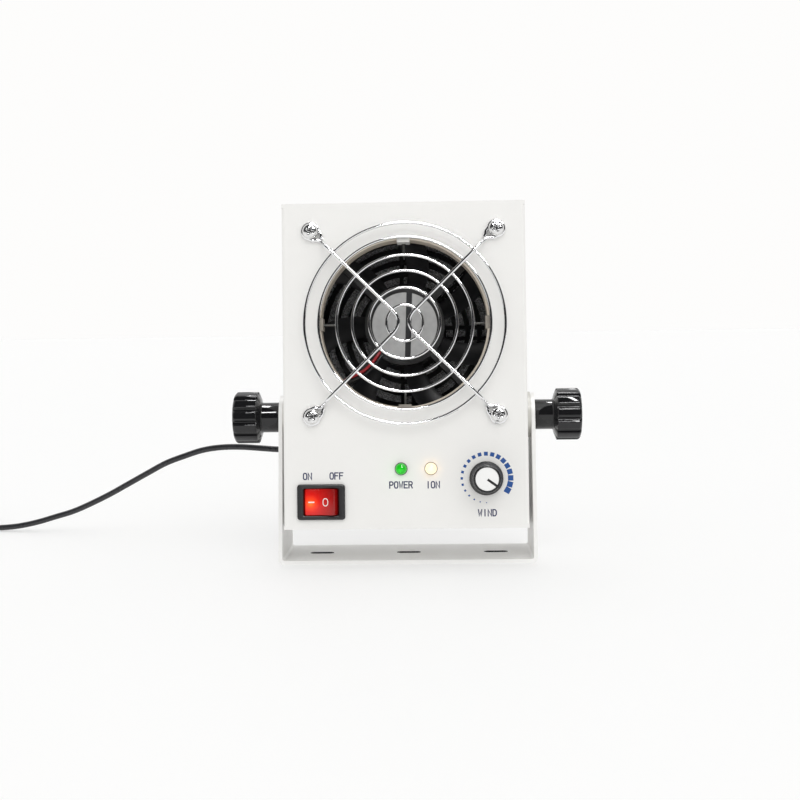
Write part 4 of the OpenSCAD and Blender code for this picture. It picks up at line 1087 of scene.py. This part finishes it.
# impeller: hub cup and seven swept, twisted blades
def blade_mesh(a0):
    nr, nc = 16, 14
    rin, rout = 22.2, 56.4
    top, bot = [], []
    V, F = [], []
    for side in (0, 1):
        for i in range(nr + 1):
            f = i / nr
            r = rin + (rout - rin) * f
            pitch_a = RAD(50 - 18 * f)              # chord against the fan's plane
            chord = 17 + 3.5 * f
            sweep = RAD(4 + 15 * f * f)             # leading edge swept forward at the tip
            th = 1.9 - 0.9 * f
            for j in range(nc + 1):
                g = j / nc - 0.5
                camber = 2.0 * (1 - (2 * g) ** 2)
                thick = th * math.sqrt(max(0.0, 1 - (2 * g) ** 4)) * (0.5 if side else -0.5) + 0
                s_ = g * chord * math.cos(pitch_a) + (camber + thick) * math.sin(pitch_a) * -1
                y_ = g * chord * math.sin(pitch_a) + (camber + thick) * math.cos(pitch_a)
                y_ = max(-12.8, min(12.8, y_ * 0.98))
                t = a0 + sweep + s_ / r
                V.append((r * math.cos(t), y_, r * math.sin(t)))
    S = (nr + 1) * (nc + 1)
    for i in range(nr):
        for j in range(nc):
            a = i * (nc + 1) + j
            F.append([a, a + 1, a + nc + 2, a + nc + 1])
            F.append([S + a, S + a + nc + 1, S + a + nc + 2, S + a + 1])
    edge = [(i, 0) for i in range(nr)] + [(nr, j) for j in range(nc)] + [(i, nc) for i in range(nr, 0, -1)] + [(0, j) for j in range(nc, 0, -1)]
    idx = [i * (nc + 1) + j for i, j in edge]
    for k in range(len(idx)):
        a, b = idx[k], idx[(k + 1) % len(idx)]
        F.append([a, b, S + b, S + a])
    return V, F


imp = []
ymid = FAN0 + 5 + (13.7 - 1.4 - FAN0 - 5) / 2
for i in range(7):
    imp.append(moved(blade_mesh(RAD(20 + 360 / 7 * i)), Matrix.Translation((0, ymid, 0))))
y0, y1 = FAN0 + 5, 12.3
imp.append(closed_lathe([(22.6, y0 + 0.6), (22.3, y0), (20.7, y0), (20.6, y0 + 0.4), (20.6, y1 - 3), (4, y1 - 3), (3.6, y1 - 6.5), (1.55, y1 - 6.5), (1.55, y1 - 2), (4, y1), (21.4, y1), (22.4, y1 - 0.5), (22.6, y1 - 1.6)], 96))
impeller = put("impeller", *join(imp), BLADE, "rotor", at=(0, 0, FZ), sharp=40)
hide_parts("fan_impeller")

# ------------------------------------------------------------------ stage
fl = bpy.data.meshes.new("floor")
fl.from_pydata([(-30, -30, 0), (30, -30, 0), (30, 30, 0), (-30, 30, 0)], [], [(0, 1, 2, 3)])
floor = bpy.data.objects.new("floor", fl)
bpy.context.scene.collection.objects.link(floor)
FM = Mat("floor_white", (0.60, 0.60, 0.60), 0.6, spec=0.2)
FM.b.inputs["Emission Color"].default_value = (1.0, 1.0, 0.995, 1)
FM.b.inputs["Emission Strength"].default_value = 0.345
floor.data.materials.append(FM.m)

world = bpy.data.worlds.new("studio")
bpy.context.scene.world = world
world.use_nodes = True
nt = world.node_tree
bg = nt.nodes["Background"]
outn = nt.nodes["World Output"]
tc = nt.nodes.new("ShaderNodeTexCoord")
sep = nt.nodes.new("ShaderNodeSeparateXYZ")
nt.links.new(tc.outputs["Generated"], sep.inputs[0])
rampw = nt.nodes.new("ShaderNodeValToRGB")
mr = nt.nodes.new("ShaderNodeMapRange")
mr.inputs["From Min"].default_value = -1
mr.inputs["From Max"].default_value = 1
nt.links.new(sep.outputs["Y"], mr.inputs["Value"])
nt.links.new(mr.outputs["Result"], rampw.inputs["Fac"])
els = rampw.color_ramp.elements
els[0].position, els[0].color = 0.43, (0.03, 0.03, 0.032, 1)
els[1].position, els[1].color = 0.66, (1.0, 1.0, 1.0, 1)
nt.links.new(rampw.outputs["Color"], bg.inputs["Color"])
bg.inputs["Strength"].default_value = 1.0
bg2 = nt.nodes.new("ShaderNodeBackground")
bg2.inputs["Color"].default_value = (0.985, 0.980, 0.972, 1)
bg3 = nt.nodes.new("ShaderNodeBackground")
bg3.inputs["Color"].default_value = (0.925, 0.925, 0.920, 1)
lpn = nt.nodes.new("ShaderNodeLightPath")
mixg = nt.nodes.new("ShaderNodeMixShader")
nt.links.new(lpn.outputs["Is Glossy Ray"], mixg.inputs["Fac"])
nt.links.new(bg3.outputs["Background"], mixg.inputs[1])
nt.links.new(bg.outputs["Background"], mixg.inputs[2])
mixs = nt.nodes.new("ShaderNodeMixShader")
nt.links.new(lpn.outputs["Is Camera Ray"], mixs.inputs["Fac"])
nt.links.new(mixg.outputs["Shader"], mixs.inputs[1])
nt.links.new(bg2.outputs["Background"], mixs.inputs[2])
nt.links.new(mixs.outputs["Shader"], outn.inputs["Surface"])


def area(name, loc, target, sx, sy, power, col=(1, 1, 1)):
    d = bpy.data.lights.new(name, "AREA")
    d.shape = "RECTANGLE"
    d.size, d.size_y = sx, sy
    d.energy = power
    d.color = col
    o = bpy.data.objects.new(name, d)
    bpy.context.scene.collection.objects.link(o)
    o.location = loc
    o.rotation_mode = "QUATERNION"
    o.rotation_quaternion = (Vector(target) - Vector(loc)).to_track_quat("-Z", "Y")
    return o


def gloss_only(o, diffuse=False):
    o.visible_diffuse = diffuse
    o.visible_volume_scatter = False
    return o


gloss_only(area("strip_front", (0.45, -1.05, 1.20), (0, 0, 0.12), 1.5, 0.16, 30))
gloss_only(area("strip_top", (0.10, 0.05, 1.45), (0, 0, 0.1), 1.6, 0.12, 20))
sun_d = bpy.data.lights.new("soft_key", "SUN")
sun_d.energy = 0.45
sun_d.angle = RAD(38)
sun_d.color = (1.0, 0.995, 0.985)
sun = bpy.data.objects.new("soft_key", sun_d)
bpy.context.scene.collection.objects.link(sun)
sun.rotation_mode = "QUATERNION"
sun.rotation_quaternion = Vector((-0.22, 0.66, -0.72)).to_track_quat("-Z", "Y")
sun.visible_glossy = False



def glow(name, p, power, col, size=0.0012):
    d = bpy.data.lights.new(name, "POINT")
    d.energy = power
    d.color = col
    d.shadow_soft_size = size
    o = bpy.data.objects.new(name, d)
    bpy.context.scene.collection.objects.link(o)
    o.location = B(p)
    o.visible_glossy = False
    return o


for k in range(6):
    glow("ion_halo_%d" % k, (14.2 + 4.3 * math.cos(RAD(60 * k)), YF - 1.7, -30.3 + 4.3 * math.sin(RAD(60 * k))), 0.000026, (1.0, 0.52, 0.12), 0.0008)
glow("green_halo", (-3.6, YF - 5.4, -31.6), 0.00022, (0.10, 1.0, 0.15))

sc = bpy.context.scene
sc.view_settings.view_transform = "Standard"
sc.view_settings.look = "None"
sc.view_settings.exposure = 0.0
sc.view_settings.gamma = 1.0
